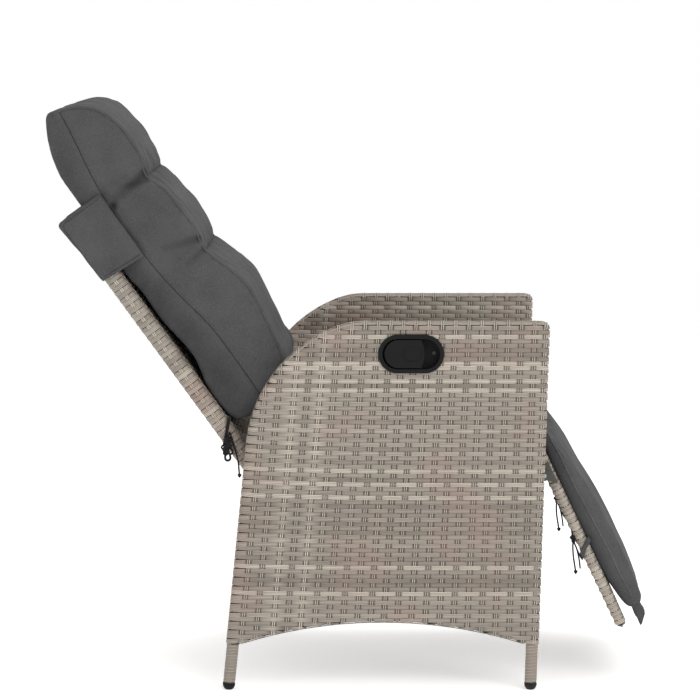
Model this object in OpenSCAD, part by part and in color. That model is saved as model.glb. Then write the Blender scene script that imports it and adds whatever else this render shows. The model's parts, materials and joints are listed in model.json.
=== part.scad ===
// Reclining garden chair with a coupled footrest, woven panels and loose cushions.
// Frame: millimetres, +X to the front of the chair, +Z up, floor at z = 0, middle at y = 0.
// The chair is drawn reclined, with the footrest raised. "Right" is the sitter's right, at -Y.

/* [Overall] */
// Height of the armrests above the floor
arm_h = 650; // [600:1:780]
// Width over both side panels
overall_w = 590; // [560:1:720]
// Place of the rear legs' back line at the floor
rear_x = -225.8; // [-260:0.1:-215]
// Place of the front legs' front line at the floor
front_x = 329; // [320:0.5:360]

/* [Side panels] */
// Diameter of the tubes in the side panels
side_tube_d = 19; // [16:0.5:23]
// Thickness of a panel's woven skin
side_skin = 2.2; // [1.8:0.1:3]
// Lean of the rear edge from upright, in degrees
rear_lean = 5.8; // [3:0.1:8]
// Lean of the front edge from upright, in degrees
front_lean = 1.7; // [0.5:0.1:3]
// Radius of the lower part of the rear shoulder
shoulder_r = 245; // [200:1:260]
// Radius where the shoulder meets the armrest
shoulder_top_r = 138; // [110:1:160]
// Place where the flat armrest starts
arm_flat_x = 26; // [0:1:60]
// Radius of the front top corner
corner_r = 15; // [14:0.5:20]
// Height of the panel's lower corners
skirt_z = 80; // [60:1:100]
// Rise of the arched lower edge
arch_rise = 38.5; // [20:0.5:50]
// Wall of every tube
tube_wall = 1.5; // [1:0.1:2]
// Thickness of the strand wound round the legs
leg_wrap_t = 0.9; // [0.6:0.1:1.3]
// Wall of a foot cap, outside the leg's own diameter
foot_cap_wall = 1.5; // [1:0.1:3]
// Diameter of the lower stretcher between the rear legs
stretcher_d = 22; // [18:0.5:25]
// Height of the lower stretcher
stretcher_z = 150; // [130:1:200]

/* [Seat] */
// Height of the two pivots above the floor
pivot_z = 433; // [400:1:460]
// Place of the back's pivot
back_pivot_x = -105; // [-125:1:-95]
// Place of the footrest's pivot
foot_pivot_x = 325; // [305:1:335]
// Diameter of the seat rails
rail_d = 25; // [21:0.5:30]
// Diameter of the seat's cross tubes
cross_d = 19; // [16:0.5:22]
// Thickness of the woven seat deck's skin
deck_skin = 2.7; // [2:0.1:3.5]
// Thickness of the seat cushion
seat_cushion_t = 49; // [40:1:55]
// Gap between the seat cushion and each side panel
cushion_gap = 31; // [22:0.5:45]

/* [Back] */
// Lean of the back from upright when reclined, in degrees
back_lean = 35.85; // [34:0.05:37]
// Length of the back panel above the pivot
back_len = 541; // [500:1:560]
// Distance the panel reaches below the pivot
back_drop = 52; // [45:1:60]
// Distance from the pivot back to the panel's middle plane
back_set = 81; // [76:0.5:90]
// Diameter of the back's tubes
back_tube_d = 25; // [20:0.5:26]
// Thickness of the back panel's woven skin
back_skin = 3.2; // [2.5:0.1:3.5]
// Gap between the back panel and each side panel
back_gap = 21; // [17:0.5:27]
// Distance from the back panel's edge in to the back cushion's side
back_cushion_in = 5; // [2:0.5:15]

/* [Footrest] */
// Angle of the footrest from straight down when raised, in degrees
foot_lean = 25.5; // [24:0.1:27]
// Length of the footrest below its pivot
foot_len = 366; // [340:1:380]
// Diameter of the footrest's tubes
foot_tube_d = 15; // [13:0.5:16]
// Thickness of the footrest's woven skin
foot_skin = 2.2; // [1.8:0.1:2.6]
// Gap between the footrest panel and each seat rail
foot_gap = 2.5; // [2:0.1:8]
// Thickness of the footrest cushion
foot_cushion_t = 43; // [35:1:46]

/* [Linkage] */
// Radius of the crank that drives the footrest
crank_r = 60; // [55:1:65]
// Turn of the back from reclined to upright, in degrees
travel = 30; // [26:1:30]
// Thickness of the hinge and link plates
plate_t = 5; // [4:0.5:6]
// Diameter of the pivot bolts
pivot_d = 8; // [6:0.5:10]
// Diameter of the cross bar that joins the cranks
crank_bar_d = 16; // [14:0.5:18]
// Diameter of the gas spring's cylinder
spring_d = 22; // [20:0.5:22]
// Diameter of the gas spring's rod
spring_rod_d = 8; // [6:0.5:10]

/* [Release handle] */
// Length of the handle's oval rim
handle_w = 114.5; // [108:0.5:126]
// Height of the handle's oval rim
handle_h = 67; // [62:0.5:72]
// Place of the middle of the handle
handle_x = 106.3; // [95:0.5:130]
// Distance of the middle of the handle below the armrest
handle_drop = 56.5; // [54:0.5:90]
// Diameter of the release cable
cable_d = 5; // [4:0.5:6]

/* [Hidden] */

$fn = 48;

// Clearances
fit = 0.3;         // between a skin and the tube it covers
running = 0.05;    // radial, between a pin and the bore that turns on it
slack = 0.1;       // on the diameter of a bore that a bolt or bush sits in
side_gap = 0.5;    // between a side panel and what is bolted to it
plate_gap = 1;     // between plates that pass each other
bush_flange = 7;   // room for a bush's flange beside the seat rail
past = 1;          // how far a cut runs beyond the face that it opens

// Fasteners
bolt_d = 6;
bush_d = pivot_d + 4;
foot_bush_d = pivot_d + 2;
washer_t = 3;
head_t = 5;
pin_end = 6;       // length of a pin beyond the link that it carries

// Widths across the chair, from the outside in
half_w = overall_w / 2;
panel_t = side_tube_d + 2 * (fit + side_skin);
side_y = half_w - panel_t / 2;
inner_y = half_w - panel_t;
rail_y = inner_y - side_gap - rail_d / 2;
rail_in_y = rail_y - rail_d / 2;
back_half = inner_y - back_gap;
foot_half = rail_in_y - foot_gap;
hinge_y = rail_in_y - bush_flange - plate_t;
ear_y = foot_half + plate_gap;
link_y = ear_y + plate_t + plate_gap;

// Side panel geometry: a straight rear edge, two arcs over the shoulder, a flat arm,
// a small front corner, a straight front edge and an arched lower edge.
side_inset = side_skin + fit + side_tube_d / 2;
top_c = [arm_flat_x, arm_h - shoulder_top_r];
rear_dir = [sin(rear_lean), cos(rear_lean)];
rear_in = [cos(rear_lean), -sin(rear_lean)];
low_from = [rear_x, 0] + shoulder_r * rear_in - top_c;
low_b = low_from * rear_dir;
low_s = -low_b - sqrt(low_b * low_b - low_from * low_from + pow(shoulder_r - shoulder_top_r, 2));
low_c = [rear_x, 0] + low_s * rear_dir + shoulder_r * rear_in;
join_dir = top_c - low_c;
join_a = atan2(join_dir.y, join_dir.x);
front_corner_c = [
    front_x + (arm_h - corner_r) * tan(front_lean) - corner_r / cos(front_lean),
    arm_h - corner_r,
];
skirt_w = panel_t + 2;
arch_x0 = rear_edge_x(skirt_z, skirt_w);
arch_x1 = front_edge_x(skirt_z, skirt_w);
arch_half = (arch_x1 - arch_x0) / 2;
arch_r = (arch_half * arch_half + arch_rise * arch_rise) / (2 * arch_rise);
arch_c = [(arch_x0 + arch_x1) / 2, skirt_z + arch_rise - arch_r];
rail_z = pivot_z - 1;
leg_low = 8;
leg_top = 2;       // how far the straight tubes run past the front corner's centre
rear_leg_x = rear_edge_x(0, side_inset);
front_leg_x = front_edge_x(0, side_inset);
foot_d = side_tube_d + 2 * foot_cap_wall;
leg_bore = side_tube_d - 2 * tube_wall;
wrap_z = [12.5, skirt_z - 1.5];
stretcher_p = [rear_edge_x(stretcher_z, side_inset), stretcher_z];
stretcher_plug = 22;  // length of the solid, threaded plug in each end of the stretcher

function rear_edge_x(z, inset) = rear_x + z * tan(rear_lean) + inset / cos(rear_lean);
function front_edge_x(z, inset) = front_x + z * tan(front_lean) - inset / cos(front_lean);
function rear_leg(z) = [rear_leg_x + z * tan(rear_lean), z];
function front_leg(z) = [front_leg_x + z * tan(front_lean), z];
function at_y(p, y) = [p.x, y, p.y];
function arc(c, r, a0, a1, n) = [for (i = [0:n]) let (a = a0 + (a1 - a0) * i / n) c + r * [cos(a), sin(a)]];
function arch_angle(inset) = asin((skirt_z + inset - arch_c.y) / (arch_r + inset));
function side_outline(inset) = concat(
    [[rear_edge_x(skirt_z + inset, inset), skirt_z + inset]],
    arc(low_c, shoulder_r - inset, 180 - rear_lean, join_a, 16),
    arc(top_c, shoulder_top_r - inset, join_a, 90, 6),
    arc(front_corner_c, max(corner_r - inset, 0.5), 90, -front_lean, 5),
    [[front_edge_x(skirt_z + inset, inset), skirt_z + inset]],
    arc(arch_c, arch_r + inset, arch_angle(inset), 180 - arch_angle(inset), 24)
);

// Seat: the deck lies between the hinge plates, clear of the moving panels
seat_rail_rear = back_pivot_x - 20;
seat_rail_front = foot_pivot_x + 13;
deck_t = cross_d + 2 * (fit + deck_skin);
deck_top = pivot_z + 15;
deck_mid = deck_top - deck_t / 2;
deck_ring = deck_skin + fit + cross_d / 2;
deck_half = hinge_y - 5;
deck_rear = back_pivot_x + 45;
deck_front = foot_pivot_x - 25;
cross_x = [deck_rear + 60, deck_front - 50];
bolt_x = [back_pivot_x + 45, foot_pivot_x - 45];

// The vector v of the x-z plane in the axes of a panel that leans by a
function turned(v, a) = [cos(a) * v.x + sin(a) * v.y, cos(a) * v.y - sin(a) * v.x];

// Back, in its own axes: x forward from the pivot, z up along the panel
back_t = back_tube_d + 2 * (fit + back_skin);
back_front = -back_set + back_t / 2;
back_rear = -back_set - back_t / 2;
back_rail_y = back_half - back_t / 2;
back_cross_a = [160, 350];
hinge_a = [-24, 60];  // ends of the hinge plate's flange along the rail
hinge_r = 15;         // round end of the hinge plate at the pivot
crank_end_r = 12;     // round end of the crank arm
crank_pin_in = 18;    // length of a crank pin inside the cross bar
crank_turn = travel / 2;
crank_v = crank_r * [sin(crank_turn), -cos(crank_turn)];
crank_p = [back_pivot_x, pivot_z] + crank_v;
ear_p = [foot_pivot_x, pivot_z] + crank_v;

// Footrest, in its own axes: x forward from the pivot, z up, so the panel runs down
foot_t = foot_tube_d + 2 * (fit + foot_skin);
foot_rail_y = foot_half - foot_t / 2;
foot_rail_in_y = foot_half - foot_t;
foot_cross_d = foot_tube_d - 2;
foot_cross_l = [34, 130, 250];
foot_top_l = -9;
ear_r = 11;
link_r = 9;

// Gas spring: the cylinder's eye turns on the crank bar, the rod's head hangs from the seat
spring_z = crank_p.y;
eye_play = 2.2;
eye_r = crank_bar_d / 2 + eye_play;
eye_wall = 4;
eye_half = 9;
spring_stroke = 2 * crank_v.x;
spring_wall = 2;
spring_bore = spring_d - 2 * spring_wall;
cylinder_x0 = crank_p.x + eye_r + 6;
cylinder_x1 = cylinder_x0 + 165;
guide_t = 20;          // length of the rod's guide in the cylinder's end
piston_t = 9;
head_x0 = cross_x[1] - 46;
head_x1 = cross_x[1] + 12;
head_half = 12.5;
head_under = 10;       // from the spring's axis down to the underside of its head
head_h = 26;
head_slot = [11, 16];  // place and length of the lever's slot
rod_in_head = 10;
push_pin_d = 3;
lever_t = 7;
lever_r = 4;
lever_pin_d = 4;
lever_pivot = [head_x0 + 20, spring_z + 9];
bracket_t = 4;
bracket_r = 11;
bracket_pin_d = 8;
cable_z = spring_z - spring_d / 2 - cable_d / 2 - 3.5;
cable_wire_d = 2;

// Handle
handle_z = arm_h - handle_drop;
face_y = -half_w;
cup_depth = 19;
cup_wall = 2;
rim_t = 3;
rim_w = 5;
cup_w = handle_w - 2 * rim_w;
cup_h = handle_h - 2 * rim_w;
cup_floor_y = face_y + cup_depth - cup_wall;
grip_pin = [handle_x - 28, face_y + 7];
grip_pin_d = 4;
paddle_t = 5;
paddle_gap = 4;        // round the paddle, inside the cup
paddle_h = cup_h - 2 * cup_wall - paddle_gap;
handle_screw_x = [handle_x - 40, handle_x + 40];
handle_screw_d = 3.2;
inner_face_y = -inner_y - side_skin - 0.2;

// Release cable: from the cup down inside the side panel, out over the rail and in to the spring
cable_down_x = 40;
cable_out_z = pivot_z - 31;
cable_hole_d = cable_d + 1.5;
cable_start = [handle_x - cup_w / 2 - 4, face_y + 14, handle_z];
cable_route = concat(
    [cable_start - [0.2, 0, 0], cable_start - [5, 0, 0.5]],
    [for (a = [20:20:80]) [cable_down_x + (cable_start.x - 4 - cable_down_x) * (1 - sin(a)),
        -side_y, handle_z - 18 + 18 * cos(a) * 0.95]],
    [for (z = [handle_z - 25, handle_z - 60, handle_z - 100, pivot_z + 35, pivot_z + 10, pivot_z - 8])
        [cable_down_x, -side_y, z]],
    [for (a = [20:20:80]) [cable_down_x + 1, -side_y + 20 - 20 * cos(a), cable_out_z + 21 - 20 * sin(a)]],
    [
        [46, -248, pivot_z - 32], [55, -220, pivot_z - 34], [70, -185, pivot_z - 40],
        [90, -145, pivot_z - 50], [112, -100, pivot_z - 61], [132, -60, pivot_z - 70],
        [152, -28, cable_z + 2], [168, -9, cable_z], [182, -1, cable_z], [190, 0, cable_z],
        [head_x0 - 6.2, 0, cable_z],
    ]
);

// Cushions
seat_cushion_z = deck_top + fit;
seat_cushion_rear = back_pivot_x - 19;
seat_cushion_front = foot_pivot_x + 17;
seat_cushion_r = 12;
cushion_half = inner_y - cushion_gap;
back_cushion_half = back_half - back_cushion_in;
foot_cushion_r = 16;
foot_cushion_l = [14, foot_len - 16];
tail = [20, 8, 30];   // footrest cushion's end flap: place forward, thickness, length
hood_a0 = back_len - 120;
hood_a1 = back_len + 4;
hood_t = 1.5;
hood_front = -17;
hood_rear = back_rear - 3 - hood_t;
hood_half = back_half + fit + hood_t + 0.5;

// Knots of the back cushion's outline in the back's axes, forward and along
back_cushion_knots = [
    [0, 713], [40, 699], [70, 672], [86, 635], [88, 590], [78, 545], [70, 525],
    [84, 495], [93, 450], [94, 405], [86, 361], [98, 315], [110, 262], [98, 212],
    [82, 170], [76, 125], [62, 88], [20, 74], [-35, 76], [back_front + 3, 100],
    [back_front + 2, 200], [back_front + 2, 300], [back_front + 2, 400], [back_front + 2, 500],
    [-54, 560], [-52, 610], [-40, 660], [-20, 695],
];

// Points along the free ends of the cushion ties, in the chair's frame, right side
back_tie_route = [
    [-211, -253.5, 452], [-207, -254, 440], [-203, -254, 426], [-199, -254, 411],
    [-196, -254, 398], [-195, -254, 386], [-194, -254, 375],
];
foot_tie_route = [
    [394, -239, 257], [393, -241, 250], [393, -243, 240], [394, -244, 228], [396, -244, 215],
    [398, -244, 202],
];
tie_d = 3;
strap_t = 1.5;
strap_w = 14;
back_strap_a = 66;
foot_strap_l = 200;

// Colours
rattan = [0.66, 0.62, 0.57];
steel_grey = [0.45, 0.45, 0.45];
zinc = [0.78, 0.78, 0.8];
black_plastic = [0.05, 0.05, 0.05];
fabric = [0.33, 0.33, 0.34];
hood_fabric = [0.3, 0.3, 0.31];
cable_black = [0.08, 0.08, 0.08];
enamel_black = [0.12, 0.12, 0.13];
chrome = [0.85, 0.85, 0.86];
nylon = "white";

// ---------- placing ----------

// Puts children, drawn in the back's axes, in the chair
module in_back() {
    translate([back_pivot_x, 0, pivot_z]) rotate([0, -back_lean, 0]) children();
}

// Puts children, drawn in the footrest's axes, in the chair
module in_foot() {
    translate([foot_pivot_x, 0, pivot_z]) rotate([0, -foot_lean, 0]) children();
}

// Repeats children, drawn at +Y, on both sides
module both_sides() {
    children();
    mirror([0, 1, 0]) children();
}

// Extrudes an outline drawn in x and z from y0 to y1
module plate(y0, y1) {
    translate([0, y1, 0]) rotate([90, 0, 0]) linear_extrude(y1 - y0) children();
}

// Round bar along Y
module bar_y(p, d, y0, y1) {
    translate([p.x, y1, p.y]) rotate([90, 0, 0]) cylinder(d = d, h = y1 - y0);
}

// Round bar between two points of space
module bar(p, q, d) {
    v = q - p;
    translate(p) rotate([0, acos(v.z / norm(v)), atan2(v.y, v.x)]) cylinder(d = d, h = norm(v));
}

// Round bar bent on an arc in the x-z plane
module bent_bar(c, r, a0, a1, d, y) {
    translate([c.x, y, c.y]) rotate([90, 0, 0]) rotate([0, 0, a0])
        rotate_extrude(angle = a1 - a0, $fn = 120) translate([r, 0]) circle(d = d, $fn = 32);
}

// Oval outline with round ends
module oval(w, h) {
    square([w - h, h], center = true);
    for (s = [-1, 1]) translate([s * (w - h) / 2, 0]) circle(d = h, $fn = 64);
}

// Bar outline with round ends between two points
module bar_outline(p, q, r) {
    v = q - p;
    translate(p) circle(r = r);
    translate(q) circle(r = r);
    translate(p) rotate(atan2(v.y, v.x)) translate([0, -r]) square([norm(v), 2 * r]);
}

// Closed smooth outline through knots
function knot(p, i) = p[(i + len(p)) % len(p)];
function smooth(a, b, c, d, t) = 0.5 * (2 * b + (c - a) * t + (2 * a - 5 * b + 4 * c - d) * t * t
    + (3 * b - a - 3 * c + d) * t * t * t);
function smooth_loop(p, n) = [for (i = [0:len(p) - 1], j = [0:n - 1])
    smooth(knot(p, i - 1), knot(p, i), knot(p, i + 1), knot(p, i + 2), j / n)];
// Open smooth line through points
function clamp_pt(p, i) = p[min(max(i, 0), len(p) - 1)];
function smooth_line(p, n) = concat([for (i = [0:len(p) - 2], j = [0:n - 1])
    smooth(clamp_pt(p, i - 1), p[i], p[i + 1], clamp_pt(p, i + 2), j / n)], [p[len(p) - 1]]);

// Tube swept along a line of points
function direction(p, i) = let (v = clamp_pt(p, i + 1) - clamp_pt(p, i - 1)) v / norm(v);
function across(t) = let (u = abs(t.z) > 0.9 ? cross(t, [0, 1, 0]) : cross(t, [0, 0, 1])) u / norm(u);
function carried(u, t) = let (w = u - (u * t) * t) w / norm(w);
function frames(p, i, u) = i == len(p) ? [] : let (t = direction(p, i), w = carried(u, t))
    concat([[p[i], w, cross(t, w)]], frames(p, i + 1, w));
module swept(p, d, sides) {
    f = frames(p, 0, across(direction(p, 0)));
    n = len(p);
    step = 360 / sides;
    pts = [for (k = f, j = [0:sides - 1]) k[0] + d / 2 * (k[1] * cos(step * j) + k[2] * sin(step * j))];
    walls = [for (i = [0:n - 2], j = [0:sides - 1])
        [i * sides + j, i * sides + (j + 1) % sides, (i + 1) * sides + (j + 1) % sides, (i + 1) * sides + j]];
    polyhedron(pts, concat(
        [[for (j = [0:sides - 1]) j]],
        [[for (j = [0:sides - 1]) n * sides - 1 - j]],
        [for (w = walls) [w[3], w[2], w[1], w[0]]]
    ));
}

// ---------- side panels ----------

// The bent tubes of a side frame at one diameter, drawn at y = 0. The bores are the same tubes
// at a smaller diameter, with extra = 1: longer at the feet and shorter at the front corner.
module side_tubes(d, extra) {
    low_end = low_c - (shoulder_r - side_inset) * rear_in;
    end = leg_top - 3 * extra;
    bar(at_y(rear_leg(leg_low - extra), 0), at_y(low_end, 0), d);
    bent_bar(low_c, shoulder_r - side_inset, join_a, 180 - rear_lean, d, 0);
    bent_bar(top_c, shoulder_top_r - side_inset, 90, join_a, d, 0);
    bar([arm_flat_x, 0, arm_h - side_inset], [front_corner_c.x + end, 0, arm_h - side_inset], d);
    bar(at_y(front_leg(leg_low - extra), 0), at_y(front_leg(front_corner_c.y + end), 0), d);
    bar(at_y(rear_leg(rail_z), 0), at_y(front_leg(rail_z), 0), d);
    low_a = arch_angle(side_inset);
    bent_bar(arch_c, arch_r + side_inset, low_a, 180 - low_a, d, 0);
}

module side_frame(side) {
    color(steel_grey) translate([0, side * side_y, 0]) difference() {
        side_tubes(side_tube_d, 0);
        side_tubes(leg_bore, 1);
        hole_y = side < 0 ? [0, panel_t] : [-panel_t, 0];
        for (x = bolt_x) bar_y([x, rail_z], bolt_d + 2 * slack, hole_y[0], hole_y[1]);
        bar_y(stretcher_p, bolt_d + 2 * slack, hole_y[0], hole_y[1]);
        if (side < 0) translate([cable_down_x, 0, rail_z - rail_d]) cylinder(d = cable_hole_d, h = 2 * rail_d);
    }
}

module side_weave(side) {
    color(rattan) difference() {
        plate(side * side_y - panel_t / 2, side * side_y + panel_t / 2) polygon(side_outline(0));
        plate(side * side_y - side_tube_d / 2 - fit, side * side_y + side_tube_d / 2 + fit)
            polygon(side_outline(side_skin));
        for (leg = [[rear_leg(0), rear_leg(skirt_z + 40)], [front_leg(0), front_leg(skirt_z + 40)]])
            bar(at_y(leg[0], side * side_y), at_y(leg[1], side * side_y), side_tube_d + 2 * fit);
        y0 = (side < 0 ? -inner_y - side_skin : inner_y) - past;
        y1 = y0 + side_skin + 2 * past;
        for (x = bolt_x) bar_y([x, rail_z], bolt_d + 1, y0, y1);
        bar_y(stretcher_p, bolt_d + 1, y0, y1);
        if (side < 0) {
            bar_y([cable_down_x, cable_out_z + 3], 2 * cable_d, y0, y1);
            translate([handle_x, 0, handle_z]) plate(face_y - past, face_y + side_skin + past)
                oval(cup_w + 2 * fit, cup_h + 2 * fit);
        }
    }
}

module right_side_frame() { side_frame(-1); }
module left_side_frame() { side_frame(1); }
module right_side_weave() { side_weave(-1); }
module left_side_weave() { side_weave(1); }

// Strand wound round each leg below the panel
module leg_wraps() {
    color(rattan) for (s = [-1, 1], leg = [0, 1]) difference() {
        a = leg == 0 ? rear_leg(wrap_z[0]) : front_leg(wrap_z[0]);
        b = leg == 0 ? rear_leg(wrap_z[1]) : front_leg(wrap_z[1]);
        bar(at_y(a, s * side_y), at_y(b, s * side_y), side_tube_d + 2 * (leg_wrap_t + slack));
        low = leg == 0 ? rear_leg(0) : front_leg(0);
        high = leg == 0 ? rear_leg(skirt_z + 20) : front_leg(skirt_z + 20);
        bar(at_y(low, s * side_y), at_y(high, s * side_y), side_tube_d + 2 * slack);
    }
}

// Rounded cap with a plug that fills the leg's bore, cut level at the floor
module foot_caps() {
    flat_cut = 1.6;      // cut off the round end, level with the floor
    cap_high = 2.4;      // straight part of the cap above the round end
    plug = 22;           // length of the plug in the leg's bore
    color(black_plastic) for (s = [-1, 1], leg = [0, 1]) intersection() {
        lean = leg == 0 ? rear_lean : front_lean;
        base = leg == 0 ? rear_leg(foot_d / 2 - flat_cut) : front_leg(foot_d / 2 - flat_cut);
        translate(at_y(base, s * side_y)) rotate([0, lean, 0]) difference() {
            union() {
                difference() {
                    sphere(d = foot_d);
                    cylinder(d = foot_d + past, h = foot_d);
                }
                cylinder(d = foot_d, h = cap_high);
                cylinder(d = leg_bore - 2 * slack, h = plug);
            }
            translate([0, 0, (leg_low - foot_d / 2 + flat_cut) / cos(lean) - slack]) difference() {
                cylinder(d = side_tube_d + 2 * slack, h = 2 * plug);
                translate([0, 0, -past]) cylinder(d = leg_bore - 2 * slack, h = 3 * plug);
            }
        }
        translate([base.x - 40, s * side_y - 40, 0]) cube([80, 80, 60]);
    }
}

// ---------- seat ----------

// Rails, cross tubes and the ring that the deck is woven on, at chosen diameters
module seat_tubes(rail, tube, extra) {
    both_sides() bar([seat_rail_rear - extra, rail_y, rail_z], [seat_rail_front + extra, rail_y, rail_z], rail);
    for (x = cross_x) bar_y([x, deck_mid], tube, -rail_y, rail_y);
    ring_x = [deck_rear + deck_ring, deck_front - deck_ring];
    ring_y = deck_half - deck_ring;
    for (x = ring_x) bar_y([x, deck_mid], tube, -ring_y, ring_y);
    for (x = ring_x, s = [-1, 1]) translate([x, s * ring_y, deck_mid]) sphere(d = tube);
    both_sides() bar([ring_x[0], ring_y, deck_mid], [ring_x[1], ring_y, deck_mid], tube);
}

module seat_frame() {
    color(steel_grey) difference() {
        seat_tubes(rail_d, cross_d, 0);
        seat_tubes(rail_d - 2 * tube_wall, cross_d - 2 * tube_wall, 1);
        for (x = bolt_x) bar_y([x, rail_z], bolt_d + 2 * slack, -half_w, half_w);
        both_sides() for (x = [back_pivot_x, foot_pivot_x])
            bar_y([x, pivot_z], pivot_d + slack, rail_in_y - past, rail_y + rail_d);
    }
}

module seat_weave() {
    color(rattan) difference() {
        deck_l = deck_front - deck_rear;
        translate([deck_rear, -deck_half, deck_mid - deck_t / 2]) cube([deck_l, 2 * deck_half, deck_t]);
        translate([deck_rear + deck_skin, -deck_half + deck_skin, deck_mid - cross_d / 2 - fit])
            cube([deck_l - 2 * deck_skin, 2 * (deck_half - deck_skin), cross_d + 2 * fit]);
        for (x = cross_x) bar_y([x, deck_mid], cross_d + 2 * fit, -deck_half - past, deck_half + past);
    }
}

// Bolts from inside each rail into the side frames
module seat_bolts() {
    color(zinc) both_sides() for (x = bolt_x) {
        bar_y([x, rail_z], bolt_d, rail_in_y, side_y + 2);
        bar_y([x, rail_z], 2 * bolt_d, rail_in_y - bolt_d / 2 - 0.5, rail_in_y);
    }
}

// ---------- lower stretcher ----------

// Tube with its strand wound on, and a plug in each end
module rear_stretcher() {
    wall = tube_wall + 1;
    plug_y = inner_y - stretcher_plug;
    color(rattan) difference() {
        bar_y(stretcher_p, stretcher_d, -inner_y + fit, inner_y - fit);
        bar_y(stretcher_p, stretcher_d - 2 * wall, -plug_y, plug_y);
        both_sides() bar_y(stretcher_p, bolt_d + slack, plug_y - past, inner_y + past);
    }
}

// Threaded studs that screw into the stretcher's ends
module stretcher_bolts() {
    color(zinc) both_sides() bar_y(stretcher_p, bolt_d, inner_y - stretcher_plug + 2, side_y + 2);
}

// ---------- back ----------

module back_tubes(d, cross, extra) {
    top = back_len - back_t / 2;
    low = -back_drop + back_skin + fit;
    both_sides() bar([-back_set, back_rail_y, low - extra], [-back_set, back_rail_y, top], d);
    both_sides() translate([-back_set, back_rail_y, top]) sphere(d = d);
    bar_y([-back_set, top], d, -back_rail_y, back_rail_y);
    bar_y([-back_set, -back_drop + back_t / 2], d, -back_rail_y, back_rail_y);
    for (a = back_cross_a) bar_y([-back_set, a], cross, -back_rail_y, back_rail_y);
}

module back_frame() {
    color(steel_grey) in_back() difference() {
        back_tubes(back_tube_d, cross_d, 0);
        back_tubes(back_tube_d - 2 * tube_wall, cross_d - 2 * tube_wall, 1);
    }
}

module back_weave() {
    color(rattan) in_back() difference() {
        translate([back_rear, -back_half, -back_drop]) cube([back_t, 2 * back_half, back_len + back_drop]);
        translate([back_rear + back_skin, -back_half + back_skin, -back_drop + back_skin])
            cube([back_t - 2 * back_skin, 2 * (back_half - back_skin), back_len + back_drop - 2 * back_skin]);
        both_sides() translate([-back_set, hinge_y - fit, hinge_a[0] - fit])
            cube([back_t, plate_t + 2 * fit, hinge_a[1] - hinge_a[0] + 2 * fit]);
        both_sides() translate([back_rear - past, back_half - back_t - strap_t - fit, back_strap_a - fit])
            cube([back_t + 2 * past, strap_t + 2 * fit, strap_w + 2 * fit]);
    }
}

// Steel plate on each rail with the pivot's bore and the crank arm
module back_hinge_plates() {
    crank_a = turned(crank_v, back_lean);
    weld_x = -back_set + back_tube_d / 2 - 3;
    color(zinc) in_back() both_sides() difference() {
        plate(hinge_y, hinge_y + plate_t) {
            circle(r = hinge_r);
            bar_outline([0, 0], crank_a, crank_end_r);
            polygon([[weld_x, hinge_a[0]], [weld_x, hinge_a[1]], [back_front + 8, hinge_a[1]], [-32, hinge_r],
                [0, hinge_r - 0.5], [crank_end_r, -9], crank_a, [back_front + 4, hinge_a[0]]]);
        }
        bar_y([0, 0], bush_d + slack, hinge_y - past, hinge_y + plate_t + past);
        bar_y(crank_a, pivot_d + slack, hinge_y - past, hinge_y + plate_t + past);
        bar([-back_set, back_rail_y, -back_drop], [-back_set, back_rail_y, back_len], back_tube_d);
    }
}

// Flanged nylon bushes that turn on the pivot bolts
module back_pivot_bushes() {
    p = [back_pivot_x, pivot_z];
    color(nylon) both_sides() difference() {
        union() {
            bar_y(p, bush_d, hinge_y - 2 * slack, hinge_y + plate_t + past);
            bar_y(p, bush_d + 8, hinge_y + plate_t, rail_in_y - fit);
        }
        bar_y(p, pivot_d + 2 * running, hinge_y - past - 2 * slack, rail_in_y + past);
    }
}

module back_pivot_bolts() {
    p = [back_pivot_x, pivot_z];
    color(zinc) both_sides() {
        bar_y(p, pivot_d, hinge_y - washer_t, rail_y + pivot_d / 2);
        bar_y(p, pivot_d + 7, hinge_y - 2 * washer_t, hinge_y - 2 * fit);
    }
}

module crank_bar() {
    color(zinc) difference() {
        bar_y(crank_p, crank_bar_d, -hinge_y + 2 * slack, hinge_y - 2 * slack);
        both_sides() bar_y(crank_p, pivot_d + slack, hinge_y - crank_pin_in - 2, hinge_y + past);
    }
}

// Shouldered pins through the crank arms, which the links turn on
module crank_pins() {
    color(zinc) both_sides() {
        bar_y(crank_p, pivot_d, hinge_y - crank_pin_in, link_y + plate_t + pin_end);
        bar_y(crank_p, pivot_d + 6, hinge_y + plate_t + slack, link_y - fit);
    }
}

// ---------- footrest ----------

module foot_tubes(d, cross, extra) {
    low = -foot_len + foot_t / 2;
    both_sides() bar([0, foot_rail_y, low], [0, foot_rail_y, -foot_top_l - foot_skin - fit + extra], d);
    both_sides() translate([0, foot_rail_y, low]) sphere(d = d);
    bar_y([0, low], d, -foot_rail_y, foot_rail_y);
    for (l = foot_cross_l) bar_y([0, -l], cross, -foot_rail_y, foot_rail_y);
}

module footrest_frame() {
    color(steel_grey) in_foot() difference() {
        foot_tubes(foot_tube_d, foot_cross_d, 0);
        foot_tubes(foot_tube_d - 2 * tube_wall, foot_cross_d - 2 * tube_wall, 1);
        both_sides() bar_y([0, 0], foot_bush_d + slack, foot_rail_y - foot_t, foot_half + past);
    }
}

module footrest_weave() {
    color(rattan) in_foot() difference() {
        translate([-foot_t / 2, -foot_half, -foot_len]) cube([foot_t, 2 * foot_half, foot_len - foot_top_l]);
        translate([-foot_tube_d / 2 - fit, -foot_half + foot_skin, -foot_len + foot_skin])
            cube([foot_tube_d + 2 * fit, 2 * (foot_half - foot_skin), foot_len - foot_top_l - 2 * foot_skin]);
        both_sides() bar_y([0, 0], foot_bush_d + 8 + 2 * slack, foot_rail_y - foot_t, foot_half + past);
        both_sides() translate([-foot_t / 2 - past, foot_rail_in_y - strap_t - fit, -foot_strap_l - fit])
            cube([foot_t + 2 * past, strap_t + 2 * fit, strap_w + 2 * fit]);
    }
}

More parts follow.
